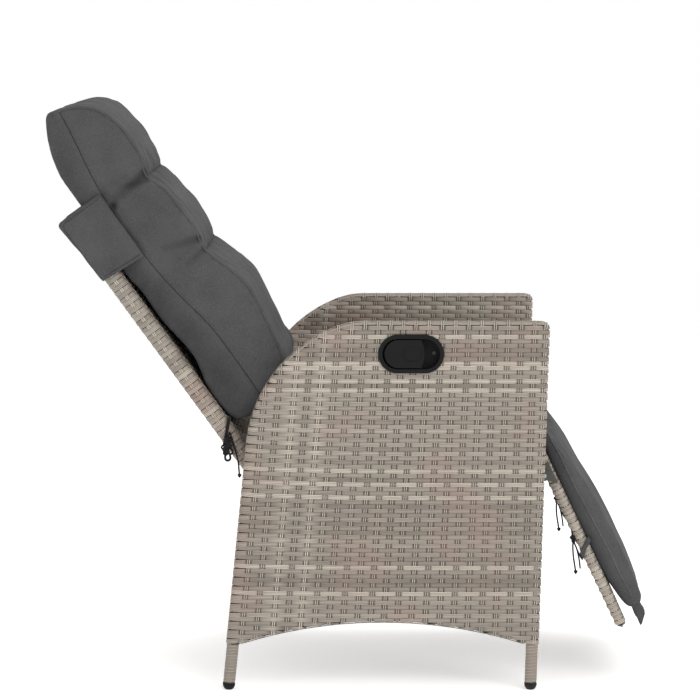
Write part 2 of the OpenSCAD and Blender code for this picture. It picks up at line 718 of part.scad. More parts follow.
module footrest_pivot_bushes() {
    p = [foot_pivot_x, pivot_z];
    color(nylon) both_sides() difference() {
        union() {
            bar_y(p, foot_bush_d, foot_rail_in_y, rail_in_y - past);
            bar_y(p, foot_bush_d + 6, foot_half - foot_skin - fit, rail_in_y - fit);
        }
        bar_y(p, pivot_d + 2 * running, foot_rail_in_y - past, rail_in_y + past);
    }
}

module footrest_pivot_bolts() {
    p = [foot_pivot_x, pivot_z];
    color(zinc) both_sides() {
        bar_y(p, pivot_d, foot_rail_in_y - washer_t, rail_y + pivot_d / 2);
        bar_y(p, pivot_d + 6, foot_rail_in_y - head_t - 0.5, foot_rail_in_y - 0.5);
    }
}

// Ear on the outer side of each footrest rail for the link
module footrest_ears() {
    ear = turned(crank_v, foot_lean);
    rivet_d = 7;
    color(zinc) in_foot() both_sides() difference() {
        union() {
            plate(ear_y, ear_y + plate_t) {
                translate(ear) circle(r = ear_r);
                polygon([ear + [2, ear_r], ear + [17, 19], ear + [17, -24], ear + [2, -ear_r]]);
            }
            for (l = [ear.y + 12, ear.y - 16]) bar_y([0, l], rivet_d, foot_half + slack, ear_y + slack);
        }
        bar_y(ear, pivot_d + slack, ear_y - past, ear_y + plate_t + past);
    }
}

module footrest_pins() {
    color(zinc) both_sides() bar_y(ear_p, pivot_d, ear_y, link_y + plate_t + pin_end);
}

// ---------- linkage ----------

// Bar from a crank pin to a footrest pin, with play at the footrest's end
module left_link() {
    play = 1;
    color(zinc) difference() {
        plate(link_y, link_y + plate_t) bar_outline(crank_p, ear_p, link_r);
        bar_y(crank_p, pivot_d + 2 * running, link_y - past, link_y + plate_t + past);
        bar_y(ear_p, pivot_d + play, link_y - past, link_y + plate_t + past);
    }
}

module right_link() { mirror([0, 1, 0]) left_link(); }

// Push-on retainers that hold the links on their pins
module link_clips() {
    clip_y = link_y + plate_t + 0.5;
    clip_t = 2.5;
    color(zinc) both_sides() difference() {
        bar_y(crank_p, pivot_d + 7, clip_y, clip_y + clip_t);
        bar_y(crank_p, pivot_d, clip_y - past, clip_y + clip_t + past);
    }
}

// ---------- gas spring ----------

// Round bar on the spring's own axis
module spring_bar(x0, x1, d, z = spring_z) {
    bar([x0, 0, z], [x1, 0, z], d);
}

module gas_spring_cylinder() {
    neck = 14;
    color(enamel_black) difference() {
        union() {
            spring_bar(cylinder_x0, cylinder_x1, spring_d);
            bar_y(crank_p, 2 * (eye_r + eye_wall), -eye_half, eye_half);
            translate([crank_p.x + eye_r, -neck / 2, spring_z - neck / 2]) cube([10, neck, neck]);
        }
        bar_y(crank_p, 2 * eye_r, -eye_half - past, eye_half + past);
        spring_bar(cylinder_x0 + 6, cylinder_x1 - 12, spring_bore);
        spring_bar(cylinder_x1 - guide_t, cylinder_x1 + past, spring_rod_d + 2 * running);
    }
}

module gas_spring_rod() {
    piston_x = cylinder_x1 - spring_stroke - 30;
    color(chrome) difference() {
        union() {
            spring_bar(piston_x, head_x0 + rod_in_head, spring_rod_d);
            spring_bar(piston_x, piston_x + piston_t, spring_bore - 2 * running);
        }
        spring_bar(head_x0 - rod_in_head, head_x0 + rod_in_head + past, push_pin_d + slack);
    }
}

// Block on the rod's end, with a tongue below that holds the cable's end
module release_head() {
    slot_w = lever_t + 1;
    side = head_half + past;
    color(steel_grey) difference() {
        translate([head_x0, -head_half, spring_z - head_under])
            cube([head_x1 - head_x0, 2 * head_half, head_h]);
        translate([head_x0 + head_slot[0], -slot_w / 2, cable_z - 20]) cube([head_slot[1], slot_w, 80]);
        spring_bar(head_x0 - past, head_x0 + head_slot[0] + 2, spring_rod_d + slack);
        bar_y(lever_pivot, lever_pin_d, -side, side);
        bar_y([cross_x[1], spring_z], bracket_pin_d + slack, -side, side);
    }
    tongue = [5, 10, spring_z - head_under - cable_z + 6.5];
    color(steel_grey) difference() {
        translate([head_x0, -tongue.y / 2, cable_z - 6]) cube(tongue);
        spring_bar(head_x0 - past, head_x0 + tongue.x + past, cable_d / 2, cable_z);
    }
}

module release_lever() {
    color(zinc) difference() {
        plate(-lever_t / 2, lever_t / 2) {
            bar_outline(lever_pivot, [lever_pivot.x, cable_z - 2], lever_r);
            translate([lever_pivot.x - 6.9, spring_z - 2]) square([6, 4]);
        }
        bar_y(lever_pivot, lever_pin_d + 2 * running, -lever_t, lever_t);
        spring_bar(lever_pivot.x - 2 * lever_r, lever_pivot.x + 2 * lever_r, cable_wire_d, cable_z);
    }
}

module release_pin() {
    color(zinc) spring_bar(head_x0 - 8, lever_pivot.x - 7.3, push_pin_d);
}

module release_lever_pin() {
    color(zinc) bar_y(lever_pivot, lever_pin_d, -head_half + 0.5, head_half - 0.5);
}

// Two cheeks welded under the front cross tube
module spring_bracket() {
    y0 = head_half + 0.5;
    y1 = y0 + bracket_t;
    color(zinc) both_sides() difference() {
        plate(y0, y1) bar_outline([cross_x[1], spring_z], [cross_x[1], deck_mid], bracket_r);
        bar_y([cross_x[1], spring_z], bracket_pin_d + slack, y0 - past, y1 + past);
        bar_y([cross_x[1], deck_mid], cross_d, y0 - past, y1 + past);
        translate([cross_x[1] - 30, y0 - past, deck_mid - deck_t / 2 - fit])
            cube([60, bracket_t + 2 * past, 60]);
    }
}

module spring_bracket_pin() {
    p = [cross_x[1], spring_z];
    end = head_half + bracket_t + 1.5;
    color(zinc) {
        bar_y(p, bracket_pin_d, -end, end);
        bar_y(p, bracket_pin_d + 4, end - 0.5, end + 2.5);
    }
}

// ---------- release handle ----------

module handle_bezel() {
    cup_end = handle_x - cup_w / 2;
    color(black_plastic) difference() {
        translate([handle_x, 0, handle_z]) union() {
            plate(face_y - rim_t, face_y) oval(handle_w, handle_h);
            plate(face_y - rim_t, face_y + cup_depth) oval(cup_w, cup_h);
        }
        translate([handle_x, 0, handle_z]) plate(face_y - rim_t - past, cup_floor_y)
            oval(cup_w - 2 * cup_wall, cup_h - 2 * cup_wall);
        translate([grip_pin.x, grip_pin.y, handle_z - cup_h / 2 - past])
            cylinder(d = grip_pin_d, h = cup_h + 2 * past);
        translate([cup_end - past, cable_start.y, handle_z]) rotate([0, 90, 0])
            cylinder(d = cable_wire_d + 1, h = 6 + past);
        for (x = handle_screw_x)
            bar_y([x, handle_z], handle_screw_d + 2 * slack, face_y + 10, face_y + cup_depth + past);
    }
}

// Paddle that fills the rear three quarters of the cup and turns on an upright pin
module handle_lever() {
    inner_y0 = face_y + paddle_t / 2 - 0.5;
    color(black_plastic) difference() {
        union() {
            plate(face_y - paddle_t / 2, face_y + paddle_t / 2) intersection() {
                translate([handle_x, handle_z]) oval(cup_w - 2 * (cup_wall + paddle_gap), paddle_h);
                translate([handle_x - 34, handle_z]) circle(r = 57, $fn = 90);
            }
            for (s = [-1, 1]) translate([grip_pin.x - 5, inner_y0, handle_z + s * 15 - 3]) cube([10, 10, 6]);
            translate([grip_pin.x - 3, inner_y0, handle_z - 2.5]) cube([6, 13.5, 5]);
        }
        translate([grip_pin.x, grip_pin.y, handle_z - paddle_h])
            cylinder(d = grip_pin_d + 2 * running, h = 2 * paddle_h);
        translate([handle_x + 2, 0, handle_z]) plate(face_y - paddle_t, face_y - 1.3) oval(36, 26);
    }
}

module handle_pin() {
    color(zinc) translate([grip_pin.x, grip_pin.y, handle_z - cup_h / 2 + 0.5])
        cylinder(d = grip_pin_d, h = cup_h - 1);
}

// Torsion spring round the pin, with one leg on the cup's floor
module handle_spring() {
    wire = 1.2;
    pitch = 0.9 * wire;
    inner_r = grip_pin_d / 2 + fit;
    color(zinc) {
        translate([grip_pin.x, grip_pin.y, handle_z + 4.5]) rotate_extrude()
            for (i = [0:4]) translate([inner_r + wire / 2, i * pitch]) circle(d = wire, $fn = 32);
        translate([grip_pin.x - inner_r - wire / 2, grip_pin.y, handle_z + 4.5])
            rotate([-90, 0, 0]) cylinder(d = pitch, h = 9.5);
    }
}

module handle_screws() {
    color(zinc) for (x = handle_screw_x) {
        bar_y([x, handle_z], handle_screw_d, cup_floor_y - 1, inner_face_y - 0.4);
        bar_y([x, handle_z], 2 * handle_screw_d + slack, cup_floor_y - 2.2, cup_floor_y);
    }
}

// ---------- release cable ----------

module release_cable() {
    color(cable_black) swept(smooth_line(cable_route, 2), cable_d, 8);
}

// Metal ends of the cable at the cup and at the spring's head
module cable_ferrules() {
    color(zinc) {
        bar(cable_start, [handle_x - cup_w / 2 - slack, cable_start.y, cable_start.z], cable_d + 1);
        spring_bar(head_x0 - 6, head_x0 - slack, cable_hole_d, cable_z);
    }
}

// ---------- cushions ----------

module back_cushion() {
    color(fabric) in_back() plate(-back_cushion_half, back_cushion_half)
        polygon(smooth_loop(back_cushion_knots, 3));
}

module seat_cushion() {
    t = seat_cushion_t;
    r = seat_cushion_r;
    rear = seat_cushion_rear + r;
    nose = seat_cushion_front - t / 2;
    color(fabric) plate(-cushion_half, cushion_half) translate([0, seat_cushion_z]) {
        for (z = [r, t - r]) translate([rear, z]) circle(r = r);
        translate([seat_cushion_rear, r]) square([2 * r, t - 2 * r]);
        translate([rear, 0]) square([nose - rear, t]);
        translate([nose, t / 2]) circle(r = t / 2);
    }
}

module footrest_cushion() {
    near = foot_t / 2 + strap_t + 2 * fit;
    r = foot_cushion_r;
    l0 = foot_cushion_l[0];
    l1 = foot_cushion_l[1];
    tail_half = cushion_half - 5;
    color(fabric) in_foot() {
        plate(-cushion_half, cushion_half) {
            translate([near, -l1 + r]) square([foot_cushion_t, l1 - l0 - 2 * r]);
            translate([near + r, -l1]) square([foot_cushion_t - 2 * r, l1 - l0]);
            for (m = [near + r, near + foot_cushion_t - r], l = [l0 + r, l1 - r])
                translate([m, -l]) circle(r = r);
        }
        translate([near + tail[0], -tail_half, -foot_len - 10]) cube([tail[1], 2 * tail_half, tail[2]]);
    }
}

// Fabric pocket over the top of the back panel, sewn to the cushion's side seams
module cushion_hood() {
    w = hood_front - hood_rear;
    h = hood_a1 - hood_a0;
    in_half = hood_half - hood_t;
    color(hood_fabric) in_back() difference() {
        translate([hood_rear, -hood_half, hood_a0]) cube([w, 2 * hood_half, h]);
        translate([hood_rear + hood_t, -in_half, hood_a0 - past]) cube([w, 2 * in_half, h + past - hood_t]);
        translate([back_front, -in_half, hood_a0 - past]) cube([w, 2 * in_half, h + 2 * past]);
    }
}

// ---------- ties ----------

// Strap round a rail of a flat panel: a flat ring drawn at the panel's right edge
module strap_ring(x0, x1, y0, y1, z) {
    difference() {
        translate([x0 - strap_t, y0 - strap_t, z])
            cube([x1 - x0 + 2 * strap_t, y1 - y0 + 2 * strap_t, strap_w]);
        translate([x0, y0, z - past]) cube([x1 - x0, y1 - y0, strap_w + 2 * past]);
    }
}

module back_tie_straps() {
    color(fabric) in_back() both_sides()
        strap_ring(back_rear - fit, back_front + fit, back_half - back_t, back_half + fit, back_strap_a);
}

module footrest_tie_straps() {
    color(fabric) in_foot() both_sides()
        strap_ring(-foot_t / 2 - fit, foot_t / 2 + fit, foot_rail_in_y, foot_half + fit, -foot_strap_l);
}

module right_back_tie() { color(cable_black) swept(smooth_line(back_tie_route, 2), tie_d, 8); }
module left_back_tie() { mirror([0, 1, 0]) right_back_tie(); }
module right_footrest_tie() { color(cable_black) swept(smooth_line(foot_tie_route, 2), tie_d, 8); }
module left_footrest_tie() { mirror([0, 1, 0]) right_footrest_tie(); }

right_side_frame();
left_side_frame();
right_side_weave();
left_side_weave();
leg_wraps();
foot_caps();
seat_frame();
seat_weave();
seat_bolts();
rear_stretcher();
stretcher_bolts();
back_frame();
back_weave();
back_hinge_plates();
back_pivot_bushes();
back_pivot_bolts();
crank_bar();
crank_pins();
footrest_frame();
footrest_weave();
footrest_pivot_bushes();
footrest_pivot_bolts();
footrest_ears();
footrest_pins();
right_link();
left_link();
link_clips();
gas_spring_cylinder();
gas_spring_rod();
release_head();
release_lever();
release_pin();
release_lever_pin();
spring_bracket();
spring_bracket_pin();
handle_bezel();
handle_lever();
handle_pin();
handle_spring();
handle_screws();
release_cable();
cable_ferrules();
back_cushion();
seat_cushion();
footrest_cushion();
cushion_hood();
back_tie_straps();
footrest_tie_straps();
right_back_tie();
left_back_tie();
right_footrest_tie();
left_footrest_tie();
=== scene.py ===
import json
import math

import bmesh
import bpy
import numpy as np
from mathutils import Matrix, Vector
from mathutils.bvhtree import BVHTree


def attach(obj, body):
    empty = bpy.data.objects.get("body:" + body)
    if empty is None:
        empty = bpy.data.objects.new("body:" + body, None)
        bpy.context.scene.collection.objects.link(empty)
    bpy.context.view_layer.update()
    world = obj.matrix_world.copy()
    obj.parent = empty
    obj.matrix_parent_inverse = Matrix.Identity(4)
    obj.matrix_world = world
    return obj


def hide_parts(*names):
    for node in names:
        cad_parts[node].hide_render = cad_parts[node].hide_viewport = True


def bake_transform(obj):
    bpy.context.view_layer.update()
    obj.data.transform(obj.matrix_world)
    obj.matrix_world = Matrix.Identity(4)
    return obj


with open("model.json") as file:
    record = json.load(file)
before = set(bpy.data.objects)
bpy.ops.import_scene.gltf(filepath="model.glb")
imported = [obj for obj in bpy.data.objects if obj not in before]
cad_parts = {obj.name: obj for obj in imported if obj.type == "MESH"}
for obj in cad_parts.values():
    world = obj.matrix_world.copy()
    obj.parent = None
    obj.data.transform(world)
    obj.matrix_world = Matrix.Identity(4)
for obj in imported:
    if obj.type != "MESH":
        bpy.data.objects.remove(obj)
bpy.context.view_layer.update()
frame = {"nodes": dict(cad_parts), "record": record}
rng = np.random.default_rng(7)


# -------------------- sizes shared with the CAD

MM = 0.001
ARM_TOP = 0.65
PANEL_Y = 0.283  # the middle plane of each side panel
REAR_X, REAR_LEAN = -0.2258, math.radians(5.8)  # a side panel's rear edge at the floor
FRONT_X, FRONT_LEAN = 0.329, math.radians(1.7)  # and its front edge
RIM_X, RIM_Z = 0.1063, 0.5935  # the middle of the handle's rim
# Pivot and lean of the two leaning panels
BACK = (np.array([-0.105, 0, 0.433]), math.radians(35.85))
FOOT = (np.array([0.325, 0, 0.433]), math.radians(25.5))


def tilted(at, p):
    """Points (forward, y, up the panel) in a leaning panel's axes, in the chair's frame."""
    origin, lean = at
    n, y, a = np.moveaxis(np.asarray(p, float), -1, 0)
    c, s = math.cos(lean), math.sin(lean)
    return np.stack([origin[0] + n * c - a * s, y, origin[2] + n * s + a * c], -1)


def turned(at, v):
    """A direction (forward, y, up) of a leaning panel, in the chair's frame."""
    return tilted(at, v) - at[0]


def along_footrest(x, z):
    """How far points are in front of the footrest's plane, and how far down it from the pivot."""
    dx, dz = x - FOOT[0][0], z - FOOT[0][2]
    c, s = math.cos(FOOT[1]), math.sin(FOOT[1])
    return dx * c + dz * s, dx * s - dz * c


def rear_x(z, inset=0.0):
    """The side panel's rear edge line at height z, inset square to it."""
    return REAR_X + z * math.tan(REAR_LEAN) + inset / math.cos(REAR_LEAN)


def front_x(z, inset=0.0):
    """The side panel's front edge line at height z, inset square to it."""
    return FRONT_X + z * math.tan(FRONT_LEAN) - inset / math.cos(FRONT_LEAN)


# -------------------- camera

cam_data = bpy.data.cameras.new("camera")
cam_data.lens = 175.7026
cam_data.sensor_width = 36
cam_data.clip_end = 50
camera = bpy.data.objects.new("camera", cam_data)
camera.location = (0, -6.1987304, 1.2053912)
camera.rotation_euler = (math.radians(90 - 5.84931), 0, 0)
bpy.context.scene.collection.objects.link(camera)
bpy.context.scene.camera = camera


# -------------------- materials

def node_material(name):
    m = bpy.data.materials.new(name)
    m.use_nodes = True
    return m, m.node_tree, m.node_tree.nodes["Principled BSDF"]


def add(t, kind, *sources, **values):
    """A node with sources linked to its first inputs; values are its settings or inputs."""
    n = t.nodes.new("ShaderNode" + kind)
    for source, socket in zip(sources, n.inputs):
        t.links.new(source, socket)
    for k, v in values.items():
        if k in n.bl_rna.properties:
            setattr(n, k, v)
        else:
            n.inputs[k.replace("_", " ")].default_value = v
    return n


def fed(t, socket, value):
    """Links value to the socket, or sets it there."""
    if isinstance(value, bpy.types.NodeSocket):
        t.links.new(value, socket)
    else:
        socket.default_value = (*value, 1) if isinstance(value, tuple) else value


def mixed(t, factor, a, b):
    """Colour between a and b by factor; each is a socket or a colour."""
    n = add(t, "Mix", data_type="RGBA")
    for place, value in ((0, factor), (6, a), (7, b)):
        fed(t, n.inputs[place], value)
    return n.outputs[2]


def maths(t, operation, *terms):
    n = add(t, "Math", operation=operation)
    for socket, term in zip(n.inputs, terms):
        fed(t, socket, term)
    return n.outputs[0]


def spread(t, socket, low, high, to_low=0.0, to_high=1.0):
    n = add(t, "MapRange", socket)
    for i, v in enumerate((low, high, to_low, to_high)):
        n.inputs[i + 1].default_value = v
    return n.outputs[0]


def noise(t, at, scale, detail, **values):
    return add(t, "TexNoise", at, Scale=scale, Detail=detail, **values).outputs["Fac"]


def attribute(t, name, output="Fac"):
    return add(t, "Attribute", attribute_name=name).outputs[output]


def on_object(t):
    return add(t, "TexCoord").outputs["Object"]


def bump(t, bsdf, socket, strength, distance):
    n = add(t, "Bump", Strength=strength, Distance=distance)
    t.links.new(socket, n.inputs["Height"])
    t.links.new(n.outputs[0], bsdf.inputs["Normal"])


def srgb(*levels):
    """The linear colour of three sRGB levels from 0 to 255."""
    shares = [c / 255 for c in levels]
    return tuple(c / 12.92 if c <= 0.04045 else ((c + 0.055) / 1.055) ** 2.4 for c in shares)


def scaled(colour, share):
    return tuple(share * c for c in colour)


RIB = 2.75 * MM  # from rib to rib across a strand


def wicker_material():
    """Ribbed strand: each has a tone of its own, fine streaks along it and a warm cast in patches, with
    painted shade in the grooves between its ribs.
    """
    m, t, b = node_material("wicker")
    strand = attribute(t, "strand", "Vector")
    along = add(t, "Mapping", strand, Scale=(9, 900, 1)).outputs[0]
    streak = noise(t, along, 1.0, 3.0)
    patch = noise(t, on_object(t), 7.0, 2.0)
    # The tone attribute carries each strand's own tone, plus painted shade where rows dip under stakes and
    # painted light beside the lit stakes.
    light = mixed(t, attribute(t, "tone"), srgb(118, 110, 101), srgb(196, 187, 174))
    streaked = mixed(t, spread(t, streak, 0.35, 0.7, 0.0, 0.4), light, srgb(92, 84, 74))
    across = add(t, "SeparateXYZ", strand).outputs["Y"]
    ribs = maths(t, "SINE", maths(t, "MULTIPLY_ADD", across, 2 * math.pi / RIB, math.pi / 2))
    inside = maths(t, "COMPARE", across, 0.0, RIB)
    # Painted shade: the colour darkens in the grooves between the strand's ribs.
    groove = maths(t, "MULTIPLY", spread(t, ribs, -1.0, 0.1, 0.75, 0.0), inside)
    ribbed = mixed(t, groove, streaked, srgb(82, 74, 65))
    warm = mixed(t, spread(t, patch, 0.5, 0.66, 0.0, 0.35), ribbed, srgb(150, 124, 113))
    t.links.new(warm, b.inputs["Base Color"])
    t.links.new(spread(t, streak, 0.3, 0.7, 0.42, 0.6), b.inputs["Roughness"])
    b.inputs["Specular IOR Level"].default_value = 0.4
    bump(t, b, streak, 0.35, 0.0004)
    return m


def cloth_material(name, dark, light, sheen=0.04):
    """Woven polyester: crossed threads, a slubby yarn, soft mottling, and painted shade in folds, creases
    and on faces turned from the light.
    """
    m, t, b = node_material(name)
    co = on_object(t)
    threads = []
    for turn in ((0.0, 0.0, 0.6), (0.0, 0.7, -0.9)):
        place = add(t, "Mapping", co, Rotation=turn).outputs[0]
        wave = add(t, "TexWave", place, Scale=230.0, Distortion=6.0, Detail=2.0, Detail_Scale=2.0)
        threads.append(wave.outputs["Fac"])
    cross = maths(t, "MULTIPLY", *threads)
    slub = noise(t, co, 420.0, 4.0, Roughness=0.7)
    base = mixed(t, spread(t, noise(t, co, 16.0, 4.0), 0.3, 0.7), dark, light)
    yarn = mixed(t, spread(t, slub, 0.4, 0.75, 0.0, 0.5), base, scaled(light, 1.7))
    shade = mixed(t, spread(t, cross, 0.0, 0.5, 0.35, 0.0), yarn, scaled(dark, 0.45))
    # Painted shade: the cloth darkens by the per-point shade attribute that shaded() writes.
    deep = mixed(t, spread(t, attribute(t, "painted_shade"), 0.0, 1.0, 0.0, 0.62), shade, scaled(dark, 0.3))
    t.links.new(deep, b.inputs["Base Color"])
    t.links.new(spread(t, slub, 0.3, 0.7, 0.78, 0.95), b.inputs["Roughness"])
    b.inputs["Specular IOR Level"].default_value = 0.1
    b.inputs["Sheen Weight"].default_value = sheen
    b.inputs["Sheen Roughness"].default_value = 0.5
    bump(t, b, maths(t, "ADD", cross, slub), 0.25, 0.0006)
    return m


def plastic_material(name, colour, rough, grain, dust=0.06):
    """Moulded plastic: fine spark-eroded grain, faint dust and rubbed patches."""
    m, t, b = node_material(name)
    co = on_object(t)
    fine, worn = noise(t, co, grain, 2.0), noise(t, co, 35.0, 5.0)
    dusty = mixed(t, spread(t, worn, 0.45, 0.75, 0.0, dust), colour, srgb(150, 146, 138))
    t.links.new(dusty, b.inputs["Base Color"])
    t.links.new(spread(t, worn, 0.35, 0.65, *rough), b.inputs["Roughness"])
    b.inputs["Specular IOR Level"].default_value = 0.16
    bump(t, b, fine, 0.2, 0.0002)
    return m


def metal_material(name, colour, rough, metallic=1.0, spangle=60.0, rub=None):
    """Plated or painted metal: mottled plating, brushed roughness and rubbed spots."""
    m, t, b = node_material(name)
    co = on_object(t)
    cells = add(t, "TexVoronoi", co, Scale=spangle).outputs["Distance"]
    fine = noise(t, co, spangle * 6, 4.0)
    tint = mixed(t, spread(t, cells, 0.0, 0.8, 0.0, 0.5), colour, scaled(colour, 0.7))
    if rub:
        tint = mixed(t, spread(t, fine, 0.62, 0.72, 0.0, 0.7), tint, rub)
    t.links.new(tint, b.inputs["Base Color"])
    t.links.new(spread(t, fine, 0.3, 0.7, *rough), b.inputs["Roughness"])
    b.inputs["Metallic"].default_value = metallic
    bump(t, b, fine, 0.15, 0.0002)
    return m


WICKER = wicker_material()
CLOTH = cloth_material("cushion_cloth", srgb(65, 65, 66), srgb(78, 78, 79))
# A darker copy of the cushion cloth: painted shade along the seams, which are real.
CLOTH_SEAM_SHADE = cloth_material("seam_shade_cloth", srgb(34, 34, 35), srgb(44, 44, 45), 0.05)
# A slightly darker copy of the cushion cloth: painted shade along the hood's stitch lines.
STITCH_SHADE = cloth_material("stitch_shade_cloth", srgb(50, 50, 51), srgb(60, 60, 61))
# A lighter copy of the cushion cloth: a painted glint along the seat's side seams.
CLOTH_GLINT = cloth_material("painted_glint_cloth", srgb(66, 66, 67), srgb(92, 92, 94))
TIE = cloth_material("tie_cloth", srgb(58, 58, 59), srgb(70, 70, 71), 0.1)
CORD = cloth_material("tie_cord", srgb(20, 20, 22), srgb(30, 30, 32), 0.1)
BLACK = plastic_material("black_plastic", srgb(12, 12, 13), (0.5, 0.66), 900.0, 0.008)
NYLON = plastic_material("nylon", srgb(206, 203, 194), (0.4, 0.6), 600.0, 0.2)
FRAME = metal_material("frame_paint", srgb(74, 72, 68), (0.45, 0.65), 0.3, 90.0, srgb(120, 116, 108))
ZINC = metal_material("zinc", srgb(186, 188, 190), (0.28, 0.5))
SPRING = metal_material("spring_black", srgb(28, 28, 30), (0.3, 0.45), 0.2, 120.0, srgb(60, 60, 62))
CHROME = metal_material("rod_chrome", srgb(214, 216, 218), (0.08, 0.2), 1.0, 200.0)
RUBBER = plastic_material("foot_rubber", srgb(18, 18, 18), (0.5, 0.75), 500.0, 0.1)
SHEATH = plastic_material("cable_sheath", srgb(24, 24, 25), (0.4, 0.55), 700.0)


# -------------------- curves

def lengths_along(p):
    return np.concatenate([[0], np.cumsum(np.linalg.norm(np.diff(p, axis=0), axis=1))])


def at_lengths(p, t):
    """Points of the line p at the lengths t along it."""
    return np.stack([np.interp(t, lengths_along(p), column) for column in p.T], -1)


def resample(line, step):
    """The line again, with points about step apart."""
    whole = lengths_along(line)[-1]
    return at_lengths(line, np.linspace(0, whole, max(3, int(whole / step))))


def resampled_loop(p, count):
    closed = np.concatenate([p, p[:1]])
    return at_lengths(closed, np.arange(count) / count * lengths_along(closed)[-1])


def smooth(knots, per, closed=False):
    """Catmull-Rom curve through knots, with per points to each span."""
    k = np.asarray(knots, float)
    if closed:
        a, b, c, d = np.roll(k, 1, 0), k, np.roll(k, -1, 0), np.roll(k, -2, 0)
    else:
        e = np.concatenate([[2 * k[0] - k[1]], k, [2 * k[-1] - k[-2]]])
        a, b, c, d = e[:-3], e[1:-2], e[2:-1], e[3:]
    t = (np.arange(per) / per)[None, :, None]
    a, b, c, d = (q[:, None] for q in (a, b, c, d))
    p = 0.5 * (2 * b + (c - a) * t + (2 * a - 5 * b + 4 * c - d) * t ** 2 + (3 * b - a - 3 * c + d) * t ** 3)
    p = p.reshape(-1, k.shape[1])
    return p if closed else np.concatenate([p, k[-1:]])


def arc(c, r, a0, a1, n):
    a = np.radians(np.linspace(a0, a1, n))
    return np.stack([c[0] + r * np.cos(a), c[1] + r * np.sin(a)], -1)


def bell(x, width):
    return np.exp(-(x / width) ** 2)


def wavy(x, *waves):
    """Sum of sine waves (height, length, phase)."""
    return sum(a * np.sin(x * 2 * math.pi / length + phase) for a, length, phase in waves)


def unit(v):
    return v / np.linalg.norm(v, axis=-1, keepdims=True)


# -------------------- mesh building

def linked(o):
    bpy.context.scene.collection.objects.link(o)
    return o


def finished(o, material):
    o.data.materials.clear()
    o.data.materials.append(material)
    o.data.shade_smooth()
    return o


def ride_as(o, body, slot, *nodes):
    """Says which body a piece has, and which CAD nodes it replaces; slot is not used."""
    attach(o, body)
    if nodes:
        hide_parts(*nodes)


def quads_mesh(name, points, quads, caps):
    """Mesh from points and an (n, 4) array of corners, with end faces in caps."""
    mesh = bpy.data.meshes.new(name)
    loops = np.concatenate([quads.ravel(), *caps]).astype(np.int32)
    sizes = np.concatenate([np.full(len(quads), 4), [len(c) for c in caps]]).astype(np.int32)
    mesh.vertices.add(len(points))
    mesh.vertices.foreach_set("co", np.asarray(points, np.float32).ravel())
    mesh.loops.add(len(loops))
    mesh.loops.foreach_set("vertex_index", loops)
    mesh.polygons.add(len(sizes))
    mesh.polygons.foreach_set("loop_start", (np.cumsum(sizes) - sizes).astype(np.int32))
    mesh.polygons.foreach_set("loop_total", sizes)
    mesh.update(calc_edges=True)
    mesh.validate()
    return mesh


class Strands:
    """Collects swept strands of one piece, each with a tone, and makes them one mesh."""

    def __init__(self):
        self.points, self.quads, self.caps, self.tones, self.marks = [], [], [], [], []
        self.count = 0

    def sweep(self, p, n, profile, closed, tone, lift=0.0, narrow=1.0):
        """Sweeps profile (width, height) along points p with surface normals n."""
        m, k = len(p), len(profile)
        lift, narrow = np.broadcast_to(lift, m), np.broadcast_to(narrow, m)
        t = np.roll(p, -1, 0) - np.roll(p, 1, 0) if closed else np.gradient(p, axis=0)
        t /= np.maximum(np.linalg.norm(t, axis=1, keepdims=True), 1e-9)
        w = np.cross(t, n)
        w /= np.maximum(np.linalg.norm(w, axis=1, keepdims=True), 1e-9)
        p = p + n * lift[:, None]
        across, up = profile[:, :1] * narrow[:, None, None], profile[:, 1:]
        ring = p[:, None] + w[:, None] * across + n[:, None] * up
        i, j = np.arange(m if closed else m - 1)[:, None], np.arange(k)
        this, after, turn = i * k, (i + 1) % m * k, (j + 1) % k
        quads = np.stack([this + j, this + turn, after + turn, after + j], -1)
        self.quads.append(quads.reshape(-1, 4) + self.count)
        if not closed:
            self.caps += [j[::-1] + self.count, j + (m - 1) * k + self.count]
        self.points.append(ring.reshape(-1, 3))
        strand = float(len(self.marks))
        mark = np.broadcast_arrays(lengths_along(p)[:, None], profile[None, :, 0], strand)
        self.marks.append(np.stack(mark, -1).reshape(-1, 3))
        self.tones.append(np.repeat(np.broadcast_to(tone, m), k))
        self.count += m * k

    def tube(self, points, r):
        """A round cord along points, with eight sides."""
        t = np.arange(8) / 8 * 2 * math.pi
        self.sweep(points, carried_normals(points), np.stack([-np.cos(t), np.sin(t)], -1) * r, False, 0.5)

    def make(self, name, material, place=None):
        points = np.concatenate(self.points)
        mesh = quads_mesh(name, place(points) if place else points, np.concatenate(self.quads), self.caps)
        for layer, kind, key, values in (("tone", "FLOAT", "value", self.tones),
                                         ("strand", "FLOAT_VECTOR", "vector", self.marks)):
            made = mesh.attributes.new(layer, kind, "POINT")
            made.data.foreach_set(key, np.concatenate(values).astype(np.float32).ravel())
        return finished(linked(bpy.data.objects.new(name, mesh)), material)


def carried_normals(p):
    """Normals along a path that don't twist round it."""
    t = unit(np.gradient(np.asarray(p, float), axis=0))
    n = [np.cross(t[0], [0.31, 0.93, 0.2])]
    for a in t[1:]:
        n.append(n[-1] - a * (n[-1] @ a))
    return unit(np.array(n))


def small_knot(out, at, size, r, turn=0.0):
    """Overhand knot: three lobes of a cord of radius r round a point."""
    t = np.linspace(0.35, 2 * math.pi + 0.2, 40)
    lobes = [np.sin(t) + 2 * np.sin(2 * t), -np.sin(3 * t) * 1.3, np.cos(t) - 2 * np.cos(2 * t)]
    c, s = math.cos(turn), math.sin(turn)
    out.tube(np.stack(lobes, -1) * size / 3 @ np.array([[c, s, 0], [-s, c, 0], [0, 0, 1]]) + at, r)


# -------------------- tie cords

